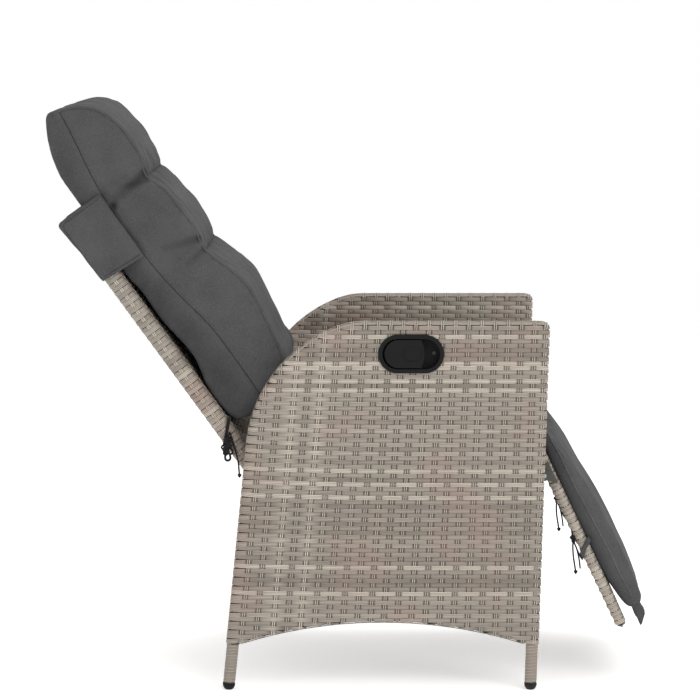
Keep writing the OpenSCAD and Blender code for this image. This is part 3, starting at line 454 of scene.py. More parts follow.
TIE_ROUTES = {
    "back_tie": ("back", [(-211, -253.5, 452), (-207, -254, 440), (-203, -254, 426), (-199, -254, 411),
                          (-196, -254, 398), (-195, -254, 386), (-194, -254, 375)]),
    "footrest_tie": ("footrest", [(394, -239, 257), (393, -241, 250), (393, -243, 240), (394, -244, 228),
                                  (396, -244, 215), (398, -244, 202)]),
}
TIE_D = 3 * MM


def tie_tail(name, path):
    """A hanging cord with a knot in its end."""
    curve = bpy.data.curves.new(name + "_tail", "CURVE")
    curve.dimensions = "3D"
    curve.bevel_depth, curve.bevel_resolution, curve.use_fill_caps = TIE_D / 2, 3, True
    line = curve.splines.new("POLY")
    line.points.add(len(path) - 1)
    line.points.foreach_set("co", np.column_stack([path, np.ones(len(path))]).ravel())
    curve.materials.append(CORD)
    tail = linked(bpy.data.objects.new(curve.name, curve))
    lobes = Strands()
    small_knot(lobes, path[-1], 2.6 * MM, 1.3 * MM)
    knot = lobes.make(name + "_knot", CORD)
    return tail, knot


for tie, (body, route) in TIE_ROUTES.items():
    for hand, side in (("right", 1), ("left", -1)):
        tail, knot = tie_tail(f"{hand}_{tie}", smooth(np.array(route) * [1, side, 1] * MM, 4))
        ride_as(tail, body, "tie_cord", f"{hand}_{tie}")
        ride_as(knot, body, "tie_cord")


# -------------------- woven panels

# Strands in section (across, up): a flat row with three ribs, a rounder one, and one of a stake's two
ROW = np.array([
    (-3.98, -0.25), (-2.75, 0.6), (-1.38, 0.1), (0, 0.7), (1.38, 0.1), (2.75, 0.6), (3.98, -0.25)]) * MM
ROUND_ROW = np.array([
    (-3.95, -0.7), (-2.75, 0.4), (-1.38, 0.75), (0, 0.95), (1.38, 0.75), (2.75, 0.4), (3.95, -0.7)]) * MM
STAKE = np.array([(-1.45, -0.5), (-0.85, 0.55), (0.85, 0.55), (1.45, -0.5)]) * MM
STAKE_APART = 1.75 * MM  # from a stake's line to each of its two strands
OVER, ROW_UNDER, STAKE_UNDER = 0.25 * MM, -2.3 * MM, -2.2 * MM  # heights of the woven strands
EDGE = 0.6 * MM  # how far the strands' surface is set in from the panels' outlines


class Pillow:
    """A flat panel with rounded edges: outlines in (u, v), half its thickness and a point inside."""

    def __init__(self, lines, r, middle):
        self.seg = np.concatenate([np.stack([line[:-1], line[1:]], 1) for line in lines])
        self.r = r
        self.middle = middle

    def surface(self, u, v):
        """Half thickness and surface normal (u, out, v) at points inside the outline."""
        p = np.stack([u, v], -1)
        a, b = self.seg[:, 0], self.seg[:, 1]
        ab = b - a
        t = np.clip(((p[:, None] - a) * ab).sum(-1) / np.maximum((ab * ab).sum(-1), 1e-12), 0, 1)
        gap = a + t[..., None] * ab - p[:, None]
        dist = np.linalg.norm(gap, axis=-1)
        k = dist.argmin(1)
        row = np.arange(len(p))
        d = dist[row, k]
        e = gap[row, k] / np.maximum(d, 1e-9)[:, None]
        # At the very edge the gap has no direction, so the segment's own normal is used
        s = ab[k] / np.maximum(np.linalg.norm(ab[k], axis=1, keepdims=True), 1e-9)
        normal = np.stack([s[:, 1], -s[:, 0]], -1)
        flip = np.sign((normal * (p - self.middle)).sum(-1))
        normal *= np.where(flip == 0, 1, flip)[:, None]
        tiny = d < 0.02 * MM
        e[tiny] = normal[tiny]
        c = np.clip((self.r - d) / self.r, 0, 1)
        out = np.sqrt(1 - c * c)
        return self.r * out, np.stack([e[:, 0] * c, out, e[:, 1] * c], -1)


def there_and_back(a):
    """Values along a panel's outer side, and the same ones back along its inner side."""
    return np.concatenate([a, a[-2:0:-1]])


def ring_around(panel, u, v):
    """Points and normals of a closed loop over a panel's outer side and back over the inner one."""
    h, n = panel.surface(u, v)
    outer, inner = np.stack([u, -h, v], -1), np.stack([u, h, v], -1)
    return np.concatenate([outer, inner[-2:0:-1]]), np.concatenate([n * [1, -1, 1], n[-2:0:-1]])


def dip(x, places, half, flat):
    """1 at the places, 0 further than half from them, with a flat bottom."""
    if not len(places):
        return np.zeros(len(x))
    d = np.abs(x[:, None] - np.asarray(places)[None]).min(1)
    t = np.clip((half - d) / (half - flat), 0, 1)
    return t * t * (3 - 2 * t)


def lay(out, p, n, profile, shades, lift, narrow, cut):
    """Sweeps a strand that closes round a panel; it stays open where cut takes its points away."""
    gone = cut(p) if cut else np.zeros(len(p), bool)
    if gone.all() or not gone.any():
        out.sweep(p, n, profile, True, shades, lift, narrow)
        return
    first = np.flatnonzero(gone & ~np.roll(gone, -1))[0] + 1
    order = np.roll(np.arange(len(p)), -first)
    order = order[~gone[order]]
    shades, narrow = np.broadcast_to(shades, len(p)), np.broadcast_to(narrow, len(p))
    out.sweep(p[order], n[order], profile, False, shades[order], lift[order], narrow[order])


class Weave:
    """Rows across a pillow panel, woven over and under stakes, which are pairs of upright strands."""

    profile = ROW
    pair_reach = 11 * MM  # how far from the edge rows start to close up in pairs
    pair_shift = 0.35 * MM  # and how much each moves
    edge_rise = 0.0  # how far rows stand out beside the edges, on the outer side
    edge_dip = 0.0  # how much lower every second row goes round the edge
    painted_light_stakes = ()  # stakes painted lighter, with painted light on the rows beside them
    ends = (STAKE_UNDER, STAKE_UNDER)  # a stake's height at its lower and its upper end
    cut_u = ()  # places for more points in a row that is cut

    def __init__(self, panel, v0, pitch, rows, spans, stakes):
        self.panel, self.v0, self.pitch, self.rows = panel, v0, pitch, rows
        self.spans, self.stakes = spans, stakes

    def sag(self, u, v):
        return np.zeros_like(u)

    def narrowing(self, u, v):
        return np.ones_like(u)

    def places(self, v, span, under, more):
        """Where along a row its points are: close round both edges and at the stakes it goes under."""
        ends = []
        for e, s in zip(span, (1, -1)):
            n = self.panel.surface(np.array([e + s * 0.05 * MM]), np.array([v]))[1]
            reach = min(self.panel.r / max(abs(n[0, 0]), 0.2), 0.05, (span[1] - span[0]) / 2.1)
            ends.append(e + s * reach * (1 - np.cos(np.radians([0, 18, 36, 54, 72, 90]))))
        mid = np.concatenate([np.add.outer(under, np.array([-6.5, -4.2, 0, 4.2, 6.5]) * MM).ravel(), more])
        mid = mid[(mid > ends[0][-1] + MM) & (mid < ends[1][-1] - MM)]
        u = np.sort(np.concatenate([*ends, mid]))
        return u[np.concatenate([[True], np.diff(u) > 0.01 * MM])]

    def row(self, out, r, tone, cut=None):
        """Row r, closed round each span of the panel at its height."""
        v = self.v0 + r * self.pitch
        under = [f(v) for k, f in self.stakes if (r + k) % 2]
        over = [f(v) for k, f in self.stakes if not (r + k) % 2]
        pair = 1 if r % 2 == 0 else -1
        for span in self.spans(v):
            u = self.places(v, span, under, [*over, *(self.cut_u if cut else ())])
            level = v + self.sag(u, np.full_like(u, v))
            n = self.panel.surface(u, level)[1]
            wrap = np.sqrt(1 - np.clip(n[:, 1], 0, 1) ** 2) * (np.abs(n[:, 0]) > 0.3)
            near = np.clip(1 - (u - span[0]) / self.pair_reach, 0, 1)
            level = level + np.maximum(wrap, near) * pair * self.pair_shift
            p, n = ring_around(self.panel, u, level)
            drop = dip(u, under, 7.0 * MM, 3.6 * MM) * (1 - wrap)
            lift = OVER + (ROW_UNDER - OVER) * drop + wrap * 0.35 * MM
            lift = there_and_back(lift - self.edge_dip * (r % 2) * (wrap > 0.9))
            lift += self.edge_rise * bell(np.abs(p[:, 0]) - np.abs(u).max() + 7 * MM, 5 * MM) * (p[:, 1] < 0)
            # Painted light: rows are lightened beside the lit stakes.
            painted_glow = sum(bell(u - f(v), 5 * MM) for k, f in self.stakes if k in self.painted_light_stakes)
            # Painted shade: the tone darkens where the row dips under a stake.
            shades = there_and_back(tone + 0.4 * painted_glow - 0.55 * dip(u, under, 5.6 * MM, 3.4 * MM))
            narrow = there_and_back(self.narrowing(u, level))
            lay(out, p, n, self.profile, np.clip(shades, -0.3, 1), lift, narrow, cut)

    def stake(self, out, k, f, low, high, tone, cut=None):
        """One pair of upright strands, closed over the top and bottom edges."""
        r, v0, pitch = self.panel.r, self.v0, self.pitch
        rows = np.arange(math.floor((low - v0) / pitch) - 1, math.ceil((high - v0) / pitch) + 2)
        v = v0 + np.add.outer(rows, [-0.34, 0.0, 0.34]).ravel() * pitch
        v = v + self.sag(f(v), v)
        lift = np.where(np.repeat((rows + k) % 2, 3) == 1, OVER, STAKE_UNDER)
        keep = (v > low + r + 0.5 * MM) & (v < high - r - 0.5 * MM)
        wrap = r * (1 - np.cos(np.radians([0, 22, 45, 68])))
        v = np.concatenate([low + wrap + 0.02 * MM, v[keep], (high - wrap - 0.02 * MM)[::-1]])
        lift = np.concatenate([np.full(4, self.ends[0]), lift[keep], np.full(4, self.ends[1])])
        for side in (-STAKE_APART, STAKE_APART):
            p, n = ring_around(self.panel, f(v) + side, v)
            lay(out, p, n, STAKE, tone, there_and_back(lift), 1.0, cut)


# -------------------- side panels

SIDE_R = 11.3 * MM
ARCH_FOOT, ARCH_INSET, ARCH_RISE = 0.08, 0.026, 0.0385


def side_outline(inset):
    """The side panel's outline (x, z) in two lines: rear edge, top and front edge; arch."""
    r_low, r_top, r_corner = 0.245, 0.138, 0.015
    top_c = np.array([0.026, ARM_TOP - r_top])
    d = np.array([math.sin(REAR_LEAN), math.cos(REAR_LEAN)])
    inward = np.array([d[1], -d[0]])
    # The lower curve starts at s up the edge, from where it runs smoothly into the top curve
    start = np.array([REAR_X, 0]) + r_low * inward - top_c
    b = start @ d
    s = -b - math.sqrt(b * b - start @ start + (r_low - r_top) ** 2)
    low_c = np.array([REAR_X, 0]) + s * d + r_low * inward
    join = math.degrees(math.atan2(*(top_c - low_c)[::-1]))
    corner_c = (front_x(ARM_TOP - r_corner, r_corner), ARM_TOP - r_corner)
    z = np.linspace(0.03, low_c[1] - r_low * inward[1], 12)
    edges = np.concatenate([
        np.stack([rear_x(z, inset), z], -1),
        arc(low_c, r_low - inset, 180 - math.degrees(REAR_LEAN), join, 30),
        arc(top_c, r_top - inset, join, 90, 20)[1:],
        arc(corner_c, max(r_corner - inset, 0.0005), 90, -math.degrees(FRONT_LEAN), 8),
        [[front_x(0.3, inset), 0.3], [front_x(0.03, inset), 0.03]],
    ])
    x0, x1 = rear_x(ARCH_FOOT, ARCH_INSET), front_x(ARCH_FOOT, ARCH_INSET)
    half = (x1 - x0) / 2
    radius = (half * half + ARCH_RISE * ARCH_RISE) / (2 * ARCH_RISE)
    a = math.degrees(math.asin(half / radius))
    arch = arc(((x0 + x1) / 2, ARCH_FOOT + ARCH_RISE - radius), radius + inset, 90 + a, 90 - a, 40)
    front_foot = arch[-1] + [-math.tan(FRONT_LEAN) * 0.05, -0.05]
    return edges, np.concatenate([[arch[0] - d * 0.05], arch, [front_foot]])


rear_line, arch_line = side_outline(EDGE)
rear_rise = rear_line[: np.searchsorted(rear_line[:50, 1], ARM_TOP - 0.7 * MM)]
front_rise = rear_line[-10:][::-1]
arch_top = arch_line[1:-1]


def side_spans(z):
    """The stretches of x that the side panel covers at height z."""
    a = float(np.interp(z, rear_rise[:, 1], rear_rise[:, 0]))
    b = float(np.interp(z, front_rise[:, 1], front_rise[:, 0]))
    if z >= arch_line[:, 1].max() + 2 * MM:
        return [(a, b)]
    half = len(arch_line) // 2
    z -= 2 * MM
    left = float(np.interp(z, arch_line[:half, 1], arch_line[:half, 0]))
    right = float(np.interp(-z, -arch_line[half:, 1], arch_line[half:, 0]))
    return [(a, left), (right, b)]


# Share of the way from the rear edge line to the front one at which each stake stands
FAN = {-2: 0.047, -1: 0.093, 0: 0.146, 2: 0.233, 6: 0.413, 9: 0.541, 12: 0.677, 14: 0.767, 18: 0.947,
       19: 0.984}


def stake_line(k):
    f = float(np.interp(k, list(FAN), list(FAN.values())))
    return lambda z: (1 - f) * rear_x(z) + f * front_x(z)


def stake_span(line):
    """Lowest and highest z of the panel along a stake's line."""
    foot = ARCH_FOOT + MM
    z = np.linspace(foot, ARM_TOP, 700)
    top = np.interp(line(z), rear_line[:-3, 0], rear_line[:-3, 1])
    low = np.interp(line(z), arch_top[:, 0], arch_top[:, 1], left=foot, right=foot)
    inside = (z < top) & (z > low)
    return z[inside][0], z[inside][-1]


class SideWeave(Weave):
    pair_reach = 24 * MM
    pair_shift = 1.3 * MM
    # Stakes 0 and 2 and the rows beside them get painted light.
    painted_light_stakes = (0, 2)
    ends = (OVER, 1.5 * MM)
    cut_u = RIM_X + np.arange(-70, 71, 3) * MM

    def sag(self, u, v):
        """Rows rise a little towards the rear of the panel."""
        rise = np.interp(u, [-0.2, -0.087, 0.0, 0.12], [3.4 * MM, 0, -1.9 * MM, -2.7 * MM])
        return rise * np.clip((v - 0.08) / 0.25, 0.4, 1) * np.clip((0.54 - v) / 0.1, 0, 1)

    def narrowing(self, u, v):
        """A row that runs out at the arch gets narrower, to stay on the panel."""
        arch = np.interp(u, arch_top[:, 0], arch_top[:, 1], left=0, right=0)
        return np.where(arch > 0, np.clip((v - arch) / (4 * MM), 0.4, 1), 1.0)


side_panel = Pillow([rear_line, arch_line], SIDE_R, (0.06, 0.35))
side_stakes = [(k, stake_line(k)) for k in range(-2, 20)]
side_weave = SideWeave(side_panel, 0.390, 7.78 * MM, range(-39, 34), side_spans, side_stakes)
LIGHT_ROWS = {30, 24, 23, 20, 18, 0, -3, -6, -22, -28}
DIM_ROWS = {27, 26, 25, 19, -2, -8, -12, -25, -26}


def handle_cut(p):
    """Points under the handle's rim, on the outer side of the right panel."""
    x, z = p[:, 0] - RIM_X, p[:, 2] - RIM_Z
    past = np.maximum(np.abs(x) - 23.5 * MM, 0)
    return (p[:, 1] < -2 * MM) & (past ** 2 + z ** 2 < (30.5 * MM) ** 2)


def edge_strips(out, line, degrees, tone, lift_by):
    """Strands along an edge of the side panel, at angles round it, over the ends of the rows."""
    d = unit(np.gradient(line, axis=0))
    outward = np.stack([-d[:, 1], d[:, 0]], -1)
    lift = np.full(len(line), lift_by)
    lift[[0, -1]] = -1.5 * MM
    for a in np.radians(degrees):
        inset = SIDE_R * (1 - math.cos(a))
        p = np.insert(line - outward * inset, 1, SIDE_R * math.sin(a), axis=1)
        n = np.insert(outward * math.cos(a), 1, math.sin(a), axis=1)
        out.sweep(p, n, ROW * 0.8, False, tone, lift)


def side_panel_pieces(hand, side, cut):
    """Lower rows, upper rows and stakes of one side panel."""
    tones = np.clip(rng.normal(0.42, 0.13, 80), 0.12, 0.75)
    low, high, stakes = Strands(), Strands(), Strands()
    # Up the rear edge, and from there on inside the panel to its front edge, where it can't be seen
    edge = rear_line[(rear_line[:, 1] < 0.6) & (rear_line[:, 1] > 0.09)]
    start = side_spans(0.083)[0][0], 0.083
    edge_strips(low, resample(np.concatenate([[start], edge]), 6 * MM), (0,), 0.3, 0.3 * MM)
    for r in side_weave.rows:
        tone = 0.92 if r in LIGHT_ROWS else 0.12 if r in DIM_ROWS else tones[r + 40]
        side_weave.row(low if r < -4 else high, r, tone, cut)
    top = resample(rear_line[rear_line[:, 1] > 0.575][:-2], 5 * MM)
    edge_strips(high, top, (-40, 0, 40), 0.45, 0.3 * MM)
    edge_strips(low, resample(arch_top[::-1], 6 * MM), (0,), 0.35, 0.0)
    for k, line in side_stakes:
        # The lit stakes get a light tone, which is painted light.
        tone = 0.95 if k in side_weave.painted_light_stakes else float(rng.uniform(0.45, 0.7))
        side_weave.stake(stakes, k, line, *stake_span(line), tone, cut)
    parts = (("rows_low", low, [f"{hand}_side_weave"]), ("rows_high", high, []), ("stakes", stakes, []))
    for part, strands, nodes in parts:
        piece = strands.make(f"{hand}_panel_{part}", WICKER, lambda p: p + [0, side * PANEL_Y, 0])
        ride_as(piece, "base", "rattan", *nodes)


side_panel_pieces("right", -1, handle_cut)
side_panel_pieces("left", 1, None)


# -------------------- back panel, footrest panel and seat deck

FLAT_PITCH, FLAT_STAKE_GAP = 8 * MM, 23.3 * MM


def box_line(half, low, high, r):
    """Rectangle with rounded corners, closed, in (u, v)."""
    right, left, top, bottom = half - r, r - half, high - r, low + r
    corners = ((right, top), (left, top), (left, bottom), (right, bottom))
    p = np.concatenate([arc(corner, r, 90 * k, 90 * k + 90, 7) for k, corner in enumerate(corners)])
    return np.concatenate([p, p[:1]])


def end_strands(out, weave, low, high, tone):
    """Strands closed along the two end edges, which the rows don't reach."""
    for v, inward in ((low, 1), (high, -1)):
        for deep in np.arange(0.25, weave.panel.r / FLAT_PITCH, 0.9) * FLAT_PITCH:
            u = weave.spans(v + inward * deep)[0][1]
            p, n = ring_around(weave.panel, np.linspace(-u, u, 60), np.full(60, v + inward * deep))
            out.sweep(p, n, weave.profile, True, tone, -0.2 * MM)


def side_pairs(out, half, v0, rows):
    """A light pair of strands down each side edge, over the odd rows."""
    v = v0 + np.arange(rows * 2 - 1) * FLAT_PITCH / 2
    over = np.repeat(np.arange(rows) % 2, 2)[:len(v)] * np.where(np.arange(len(v)) % 2, 0.5, 1.0)
    for side in (-1, 1):
        for shift in (-STAKE_APART, STAKE_APART):
            p = np.stack([np.full(len(v), side * half), np.full(len(v), shift), v], -1)
            out.sweep(p, np.tile([side, 0.0, 0.0], (len(v), 1)), STAKE, False, 0.95, (over * 1.9 - 1.6) * MM)


def flat_weave(name, half, low, high, r, corner, place, body, node, profile=ROW, tone=0.42):
    """Woven panel whose four edges the rows and stakes wrap."""
    half, low, high = half - EDGE, low + EDGE, high - EDGE
    panel = Pillow([box_line(half, low, high, corner)], r, (0.0, (low + high) / 2))
    count = int(half / FLAT_STAKE_GAP)
    stakes = [(k, lambda v, u=k * FLAT_STAKE_GAP: u + 0 * v) for k in range(-count, count + 1)]

    def spans(v):
        past = max(low + corner - v, v - high + corner, 0)
        u = half - corner + math.sqrt(max(corner * corner - past * past, 0))
        return [(-u, u)]

    rows = int((high - low - 2 * r) / FLAT_PITCH) + 1
    v0 = (low + high) / 2 - (rows - 1) / 2 * FLAT_PITCH
    weave = Weave(panel, v0, FLAT_PITCH, range(rows), spans, stakes)
    weave.profile = profile
    rounded = profile is ROUND_ROW
    weave.edge_dip = (0.3 if rounded else 1.3) * MM
    weave.edge_rise = 1.3 * MM if rounded else 0.0
    woven, upright = Strands(), Strands()
    for k in weave.rows:
        t = float(np.clip(rng.normal(tone, 0.13), 0.1, 0.8))
        weave.row(woven, k, 0.92 if rng.random() < 0.12 else t)
    end_strands(woven, weave, low, high, tone + 0.1)
    for k, f in stakes:
        weave.stake(upright, k, f, low, high, float(rng.uniform(0.5, 0.75)))
    side_pairs(upright, half, v0, rows)
    ride_as(woven.make(name + "_rows", WICKER, place), body, "rattan", node)
    ride_as(upright.make(name + "_stakes", WICKER, place), body, "rattan")


def in_back_panel(p):
    """Points (across, rearward, up) of the back's woven panel, in the chair's frame."""
    return tilted(BACK, np.stack([-0.081 - p[:, 1], p[:, 0], p[:, 2]], -1))


def in_footrest_panel(p):
    """Points (across, forward, down) of the footrest's, in the chair's frame."""
    return tilted(FOOT, np.stack([p[:, 1], p[:, 0], -p[:, 2]], -1))


def in_seat_deck(p):
    """Points (across, up, forward) of the seat's, in the chair's frame."""
    return np.stack([p[:, 2], p[:, 0], 0.4355 + p[:, 1]], -1)


flat_weave("back_panel", 0.250, -0.052, 0.541, 15.3 * MM, 20 * MM, in_back_panel, "back", "back_weave")
flat_weave("footrest_panel", 0.243, -0.009, 0.366, 8.6 * MM, 10 * MM, in_footrest_panel,
           "footrest", "footrest_weave", ROUND_ROW, 0.68)
flat_weave("seat_deck", 0.2285, -0.060, 0.300, 11.4 * MM, 14 * MM, in_seat_deck, "base", "seat_weave")


# -------------------- wound legs and stretcher

WIND_PITCH = 5.6 * MM


def wound(out, a, b, r, tone):
    """A flat strand wound tightly round a tube from a to b."""
    axis = b - a
    length = np.linalg.norm(axis)
    axis /= length
    x = unit(np.cross(axis, [0, 0, 1] if abs(axis[2]) < 0.8 else [0, 1, 0]))
    y = np.cross(axis, x)
    turns = (length - WIND_PITCH) / WIND_PITCH
    t = np.linspace(0, turns, int(turns * 22))
    n = np.cos(2 * math.pi * t)[:, None] * x + np.sin(2 * math.pi * t)[:, None] * y
    p = a + axis * ((t + 0.5) * WIND_PITCH)[:, None] + n * r
    out.sweep(p, n, ROW * [0.74, 0.7], False, tone + float(rng.uniform(-0.1, 0.1)))


LEG_INSET = 12 * MM
legs = Strands()
for leg_x in (rear_x, front_x):
    for y in (-PANEL_Y, PANEL_Y):
        foot, top = (np.array([leg_x(z, LEG_INSET), y, z]) for z in (0.0125, 0.086))
        wound(legs, foot, top, 10.3 * MM, 0.4)
ride_as(legs.make("leg_windings", WICKER), "base", "rattan", "leg_wraps")
bar = Strands()
bar_ends = (np.array([rear_x(0.15, LEG_INSET), y, 0.15]) for y in (-0.2707, 0.2707))
wound(bar, *bar_ends, 10.7 * MM, 0.7)
ride_as(bar.make("stretcher_winding", WICKER), "base", "rattan", "rear_stretcher")


# -------------------- cushion tools

CROWN_REACH = 45 * MM
VOXEL = 6.6 * MM


def loop_normals(p):
    """Outward normals of a closed loop that runs clockwise."""
    d = np.roll(p, -1, 0) - np.roll(p, 1, 0)
    return unit(np.stack([-d[:, 1], d[:, 0]], -1))


def section_ys(half):
    """Where the cushion's sections are, close together near its two side faces."""
    edge = half - CROWN_REACH + CROWN_REACH * np.sin(np.linspace(0, math.pi / 2, 12))
    y = np.concatenate([np.linspace(0, half - CROWN_REACH, 14)[:-1], edge])
    return np.concatenate([-y[:0:-1], y])


def crowned(outline, ys, half, depth, skew=0.0):
    """The outline at each y, drawn in by depth towards both faces and by skew towards the left one."""
    n = loop_normals(outline)
    pulls = [(min(1, (y / (0.82 * half)) ** 2), (y / half + 1) / 2) for y in ys]
    return [outline - n * np.reshape(depth * pull + skew * part, (-1, 1)) for pull, part in pulls]


def loft(name, sections, ys, spine):
    """Closed form through equal loops at each y; spine closes each end face in rings."""
    k = len(sections[0])
    loops = list(zip(sections, ys))
    shares = (0.25, 0.5, 0.75, 0.93)
    ends = [[(s + (spine - s) * share, y) for share in shares] for s, y in (loops[0], loops[-1])]
    loops = ends[0][::-1] + loops + ends[1]
    i, j = np.meshgrid(np.arange(len(loops) - 1), np.arange(k), indexing="ij")
    turn = (j + 1) % k
    quads = np.stack([i * k + j, (i + 1) * k + j, (i + 1) * k + turn, i * k + turn], -1).reshape(-1, 4)
    caps = [np.arange(k), np.arange(k)[::-1] + (len(loops) - 1) * k]
    return quads_mesh(name, np.concatenate([np.insert(s, 1, y, axis=1) for s, y in loops]), quads, caps)


def apply_modifiers(o):
    made = bpy.data.meshes.new_from_object(o.evaluated_get(bpy.context.evaluated_depsgraph_get()))
    made.name = o.data.name
    o.modifiers.clear()
    o.data = made


def remeshed(mesh):
    """An object of the mesh as even quads, slightly smoothed."""
    o = linked(bpy.data.objects.new(mesh.name, mesh))
    even = o.modifiers.new("even", "REMESH")
    even.mode, even.voxel_size = "VOXEL", VOXEL
    soft = o.modifiers.new("soft", "SMOOTH")
    soft.factor, soft.iterations = 0.5, 4
    apply_modifiers(o)
    return o


def subdivided(o):
    m = o.modifiers.new("fine", "SUBSURF")
    m.levels = m.render_levels = 1
    apply_modifiers(o)


def vertex_values(mesh, key):
    """The vertices' places ("co") or normals ("normal")."""
    p = np.empty(len(mesh.vertices) * 3, np.float32)
    mesh.vertices.foreach_get(key, p)
    return p.reshape(-1, 3).astype(float)


def coords(mesh):
    return vertex_values(mesh, "co")


def set_coords(mesh, p):
    mesh.vertices.foreach_set("co", np.asarray(p, np.float32).ravel())
    mesh.update()


def puffed(o, held, cap, pressure, slack=0.04):
    """Blows the cushion up as cloth, at most cap far; held gives each point's pin weight."""
    scene = bpy.context.scene
    start = coords(o.data)
    pins = o.vertex_groups.new(name="held")
    for level in np.unique(np.round(held, 1)):
        if level > 0:
            pins.add(np.flatnonzero(np.round(held, 1) == level).tolist(), float(level), "REPLACE")
    m = o.modifiers.new("cloth", "CLOTH")
    c = m.settings
    c.quality = 6
    c.mass = 0.35
    c.tension_stiffness = c.compression_stiffness = 20
    c.shear_stiffness = 8
    c.bending_stiffness = 0.6
    c.vertex_group_mass = "held"
    c.pin_stiffness = 3
    c.use_pressure = True
    c.uniform_pressure_force = pressure
    c.shrink_min = -slack
    c.effector_weights.gravity = 0
    m.point_cache.frame_start, m.point_cache.frame_end = 1, 20
    for frame_number in range(1, 21):
        scene.frame_set(frame_number)
    moved = coords(o.evaluated_get(bpy.context.evaluated_depsgraph_get()).to_mesh()) - start
    o.modifiers.clear()
    o.vertex_groups.clear()
    scene.frame_set(1)
    far = np.linalg.norm(moved, axis=1, keepdims=True)
    set_coords(o.data, start + moved * np.minimum(1, cap / np.maximum(far, 1e-9)))


def shaded(mesh, amount):
    """How much painted shade the cloth gets at each point, in folds and creases and on faces turned from the
    light.
    """
    layer = mesh.attributes.new("painted_shade", "FLOAT", "POINT")
    layer.data.foreach_set("value", np.clip(amount, 0, 1).astype(np.float32))


def surface_of(mesh, p):
    """The mesh's faces between the points p, for rays."""
    return BVHTree.FromPolygons([tuple(q) for q in p], [tuple(f.vertices) for f in mesh.polygons])


def softened(p, times):
    for _ in range(times):
        p[1:-1] = (p[:-2] + 2 * p[1:-1] + p[2:]) / 4
    return p


def laid_tube(out, surface, starts, direction, r, sink=0.2):
    """A tube laid on the surface where rays from starts meet it, sunk in by a share of its width."""
    way = np.array(direction) / np.linalg.norm(direction) * r * (1 - 2 * sink)
    hits = [surface.ray_cast(Vector(p), Vector(direction))[0] for p in starts]
    hits = [np.array(hit) - way for hit in hits if hit is not None]
    if len(hits) > 3:
        out.tube(softened(np.array(hits), 2), r)


# -------------------- back cushion

# Half its width, and its outline (forward, up) in the back's axes, clockwise from the top
BACK_W = 245 * MM
BACK_KNOTS = np.array([
    (2, 712), (10, 710), (26, 704.5), (42, 698), (58, 688), (75, 671), (88, 644), (95, 614), (95, 585),
    (92, 555), (88, 532), (87, 522), (90, 498), (93, 470), (96, 440), (96, 405), (90, 378), (86, 360),
    (94, 330), (105, 300), (111, 262), (104, 214), (95, 172), (86, 128), (68, 94), (24, 77), (-30, 79),
    (-54, 86), (-61, 104), (-64, 140), (-61, 172), (-54, 198), (-50, 226), (-53, 264), (-58, 305),
    (-57, 345), (-57, 371), (-61, 401), (-60, 480), (-55, 530), (-54, 575), (-54, 600), (-52, 620),
    (-46, 644), (-36, 668), (-23, 692), (-15, 704), (-11, 711.5), (-7, 714.5)]) * MM
CREASES = (0.525, 0.361)
SIDE_SEAM = np.array([
    (15, 709), (11, 681), (6, 649), (-1, 613), (-6, 584), (-10, 551), (-12, 519), (-15, 473), (-14, 422),
    (-11, 370), (-5, 321), (3, 273), (7, 240), (8, 211), (8, 150), (6, 95)]) * MM
# Folds in the side faces: from, to (forward, up), depth and width
FOLDS = [((74, 531), (2, 525), 9.0, 8), ((68, 518), (24, 534), 4.0, 4), ((40, 545), (10, 548), 2.4, 7),
         ((-8, 517), (-16, 512), 8.0, 6), ((40, 500), (10, 492), 1.2, 8), ((80, 384), (24, 404), 7.0, 7),
         ((82, 364), (38, 360), 4.0, 5), ((60, 378), (30, 372), 1.2, 7), ((70, 120), (30, 135), 1.6, 7)]


def seam_at(up):
    """How far forward the side seam is at a height."""
    return np.interp(up, SIDE_SEAM[::-1, 1], SIDE_SEAM[::-1, 0])


def from_crease(up):
    return np.abs(np.subtract.outer(up, CREASES)).min(1)


def back_form():
    """Sections of the back cushion, their y, and the line on which its side faces close."""
    outline = resampled_loop(smooth(BACK_KNOTS, 8, True), 210)
    up = outline[:, 1]
    facing = loop_normals(outline)[:, 0]
    ys = section_ys(BACK_W - 2 * MM)
    depth = (5 + 8 * bell(up - 0.526, 18 * MM)) * MM * np.clip(1.3 * facing - 0.3, 0, 1)
    skew = np.interp(up, (0.12, 0.15, 0.625, 0.665, 0.692, 0.703), (0, 9, 9, 0, 0, 4)) * MM
    skew = skew * np.clip(4 * facing + 1.2, 0, 1)
    middle = np.stack([seam_at(up), np.clip(up, 0.11, 0.68)], -1)
    return crowned(outline, ys, BACK_W, depth, skew), ys, middle


def draw_in(p):
    """Pulls the side faces in behind the side seam, more towards the rear."""
    n, y, a = p.T
    away = np.maximum(seam_at(a) - n, 0) / (60 * MM)
    on_side = np.clip((np.abs(y) - BACK_W + 40 * MM) / (40 * MM), 0, 1)
    p[:, 1] -= np.sign(y) * 13 * MM * np.clip(away, 0, 1) ** 1.6 * on_side


def back_hold(p, sections):
    """Pin weights of the back cushion: creases, the side faces' front rims and the rear."""
    n, y, a = p.T
    to_rim = np.full(len(p), 1.0)
    for sign, loop in ((-1, sections[0]), (1, sections[-1])):
        outer = np.flatnonzero(sign * y > BACK_W - 18 * MM)
        rim = loop[loop[:, 0] > 0.02]
        to_rim[outer] = np.linalg.norm(p[outer][:, None, [0, 2]] - rim[None], axis=2).min(1)
    creased = (from_crease(a) < 5 * MM) & (n > 0.03)
    return np.select([creased, to_rim < 7 * MM, n < -0.05], [1.0, 0.9, 0.6])


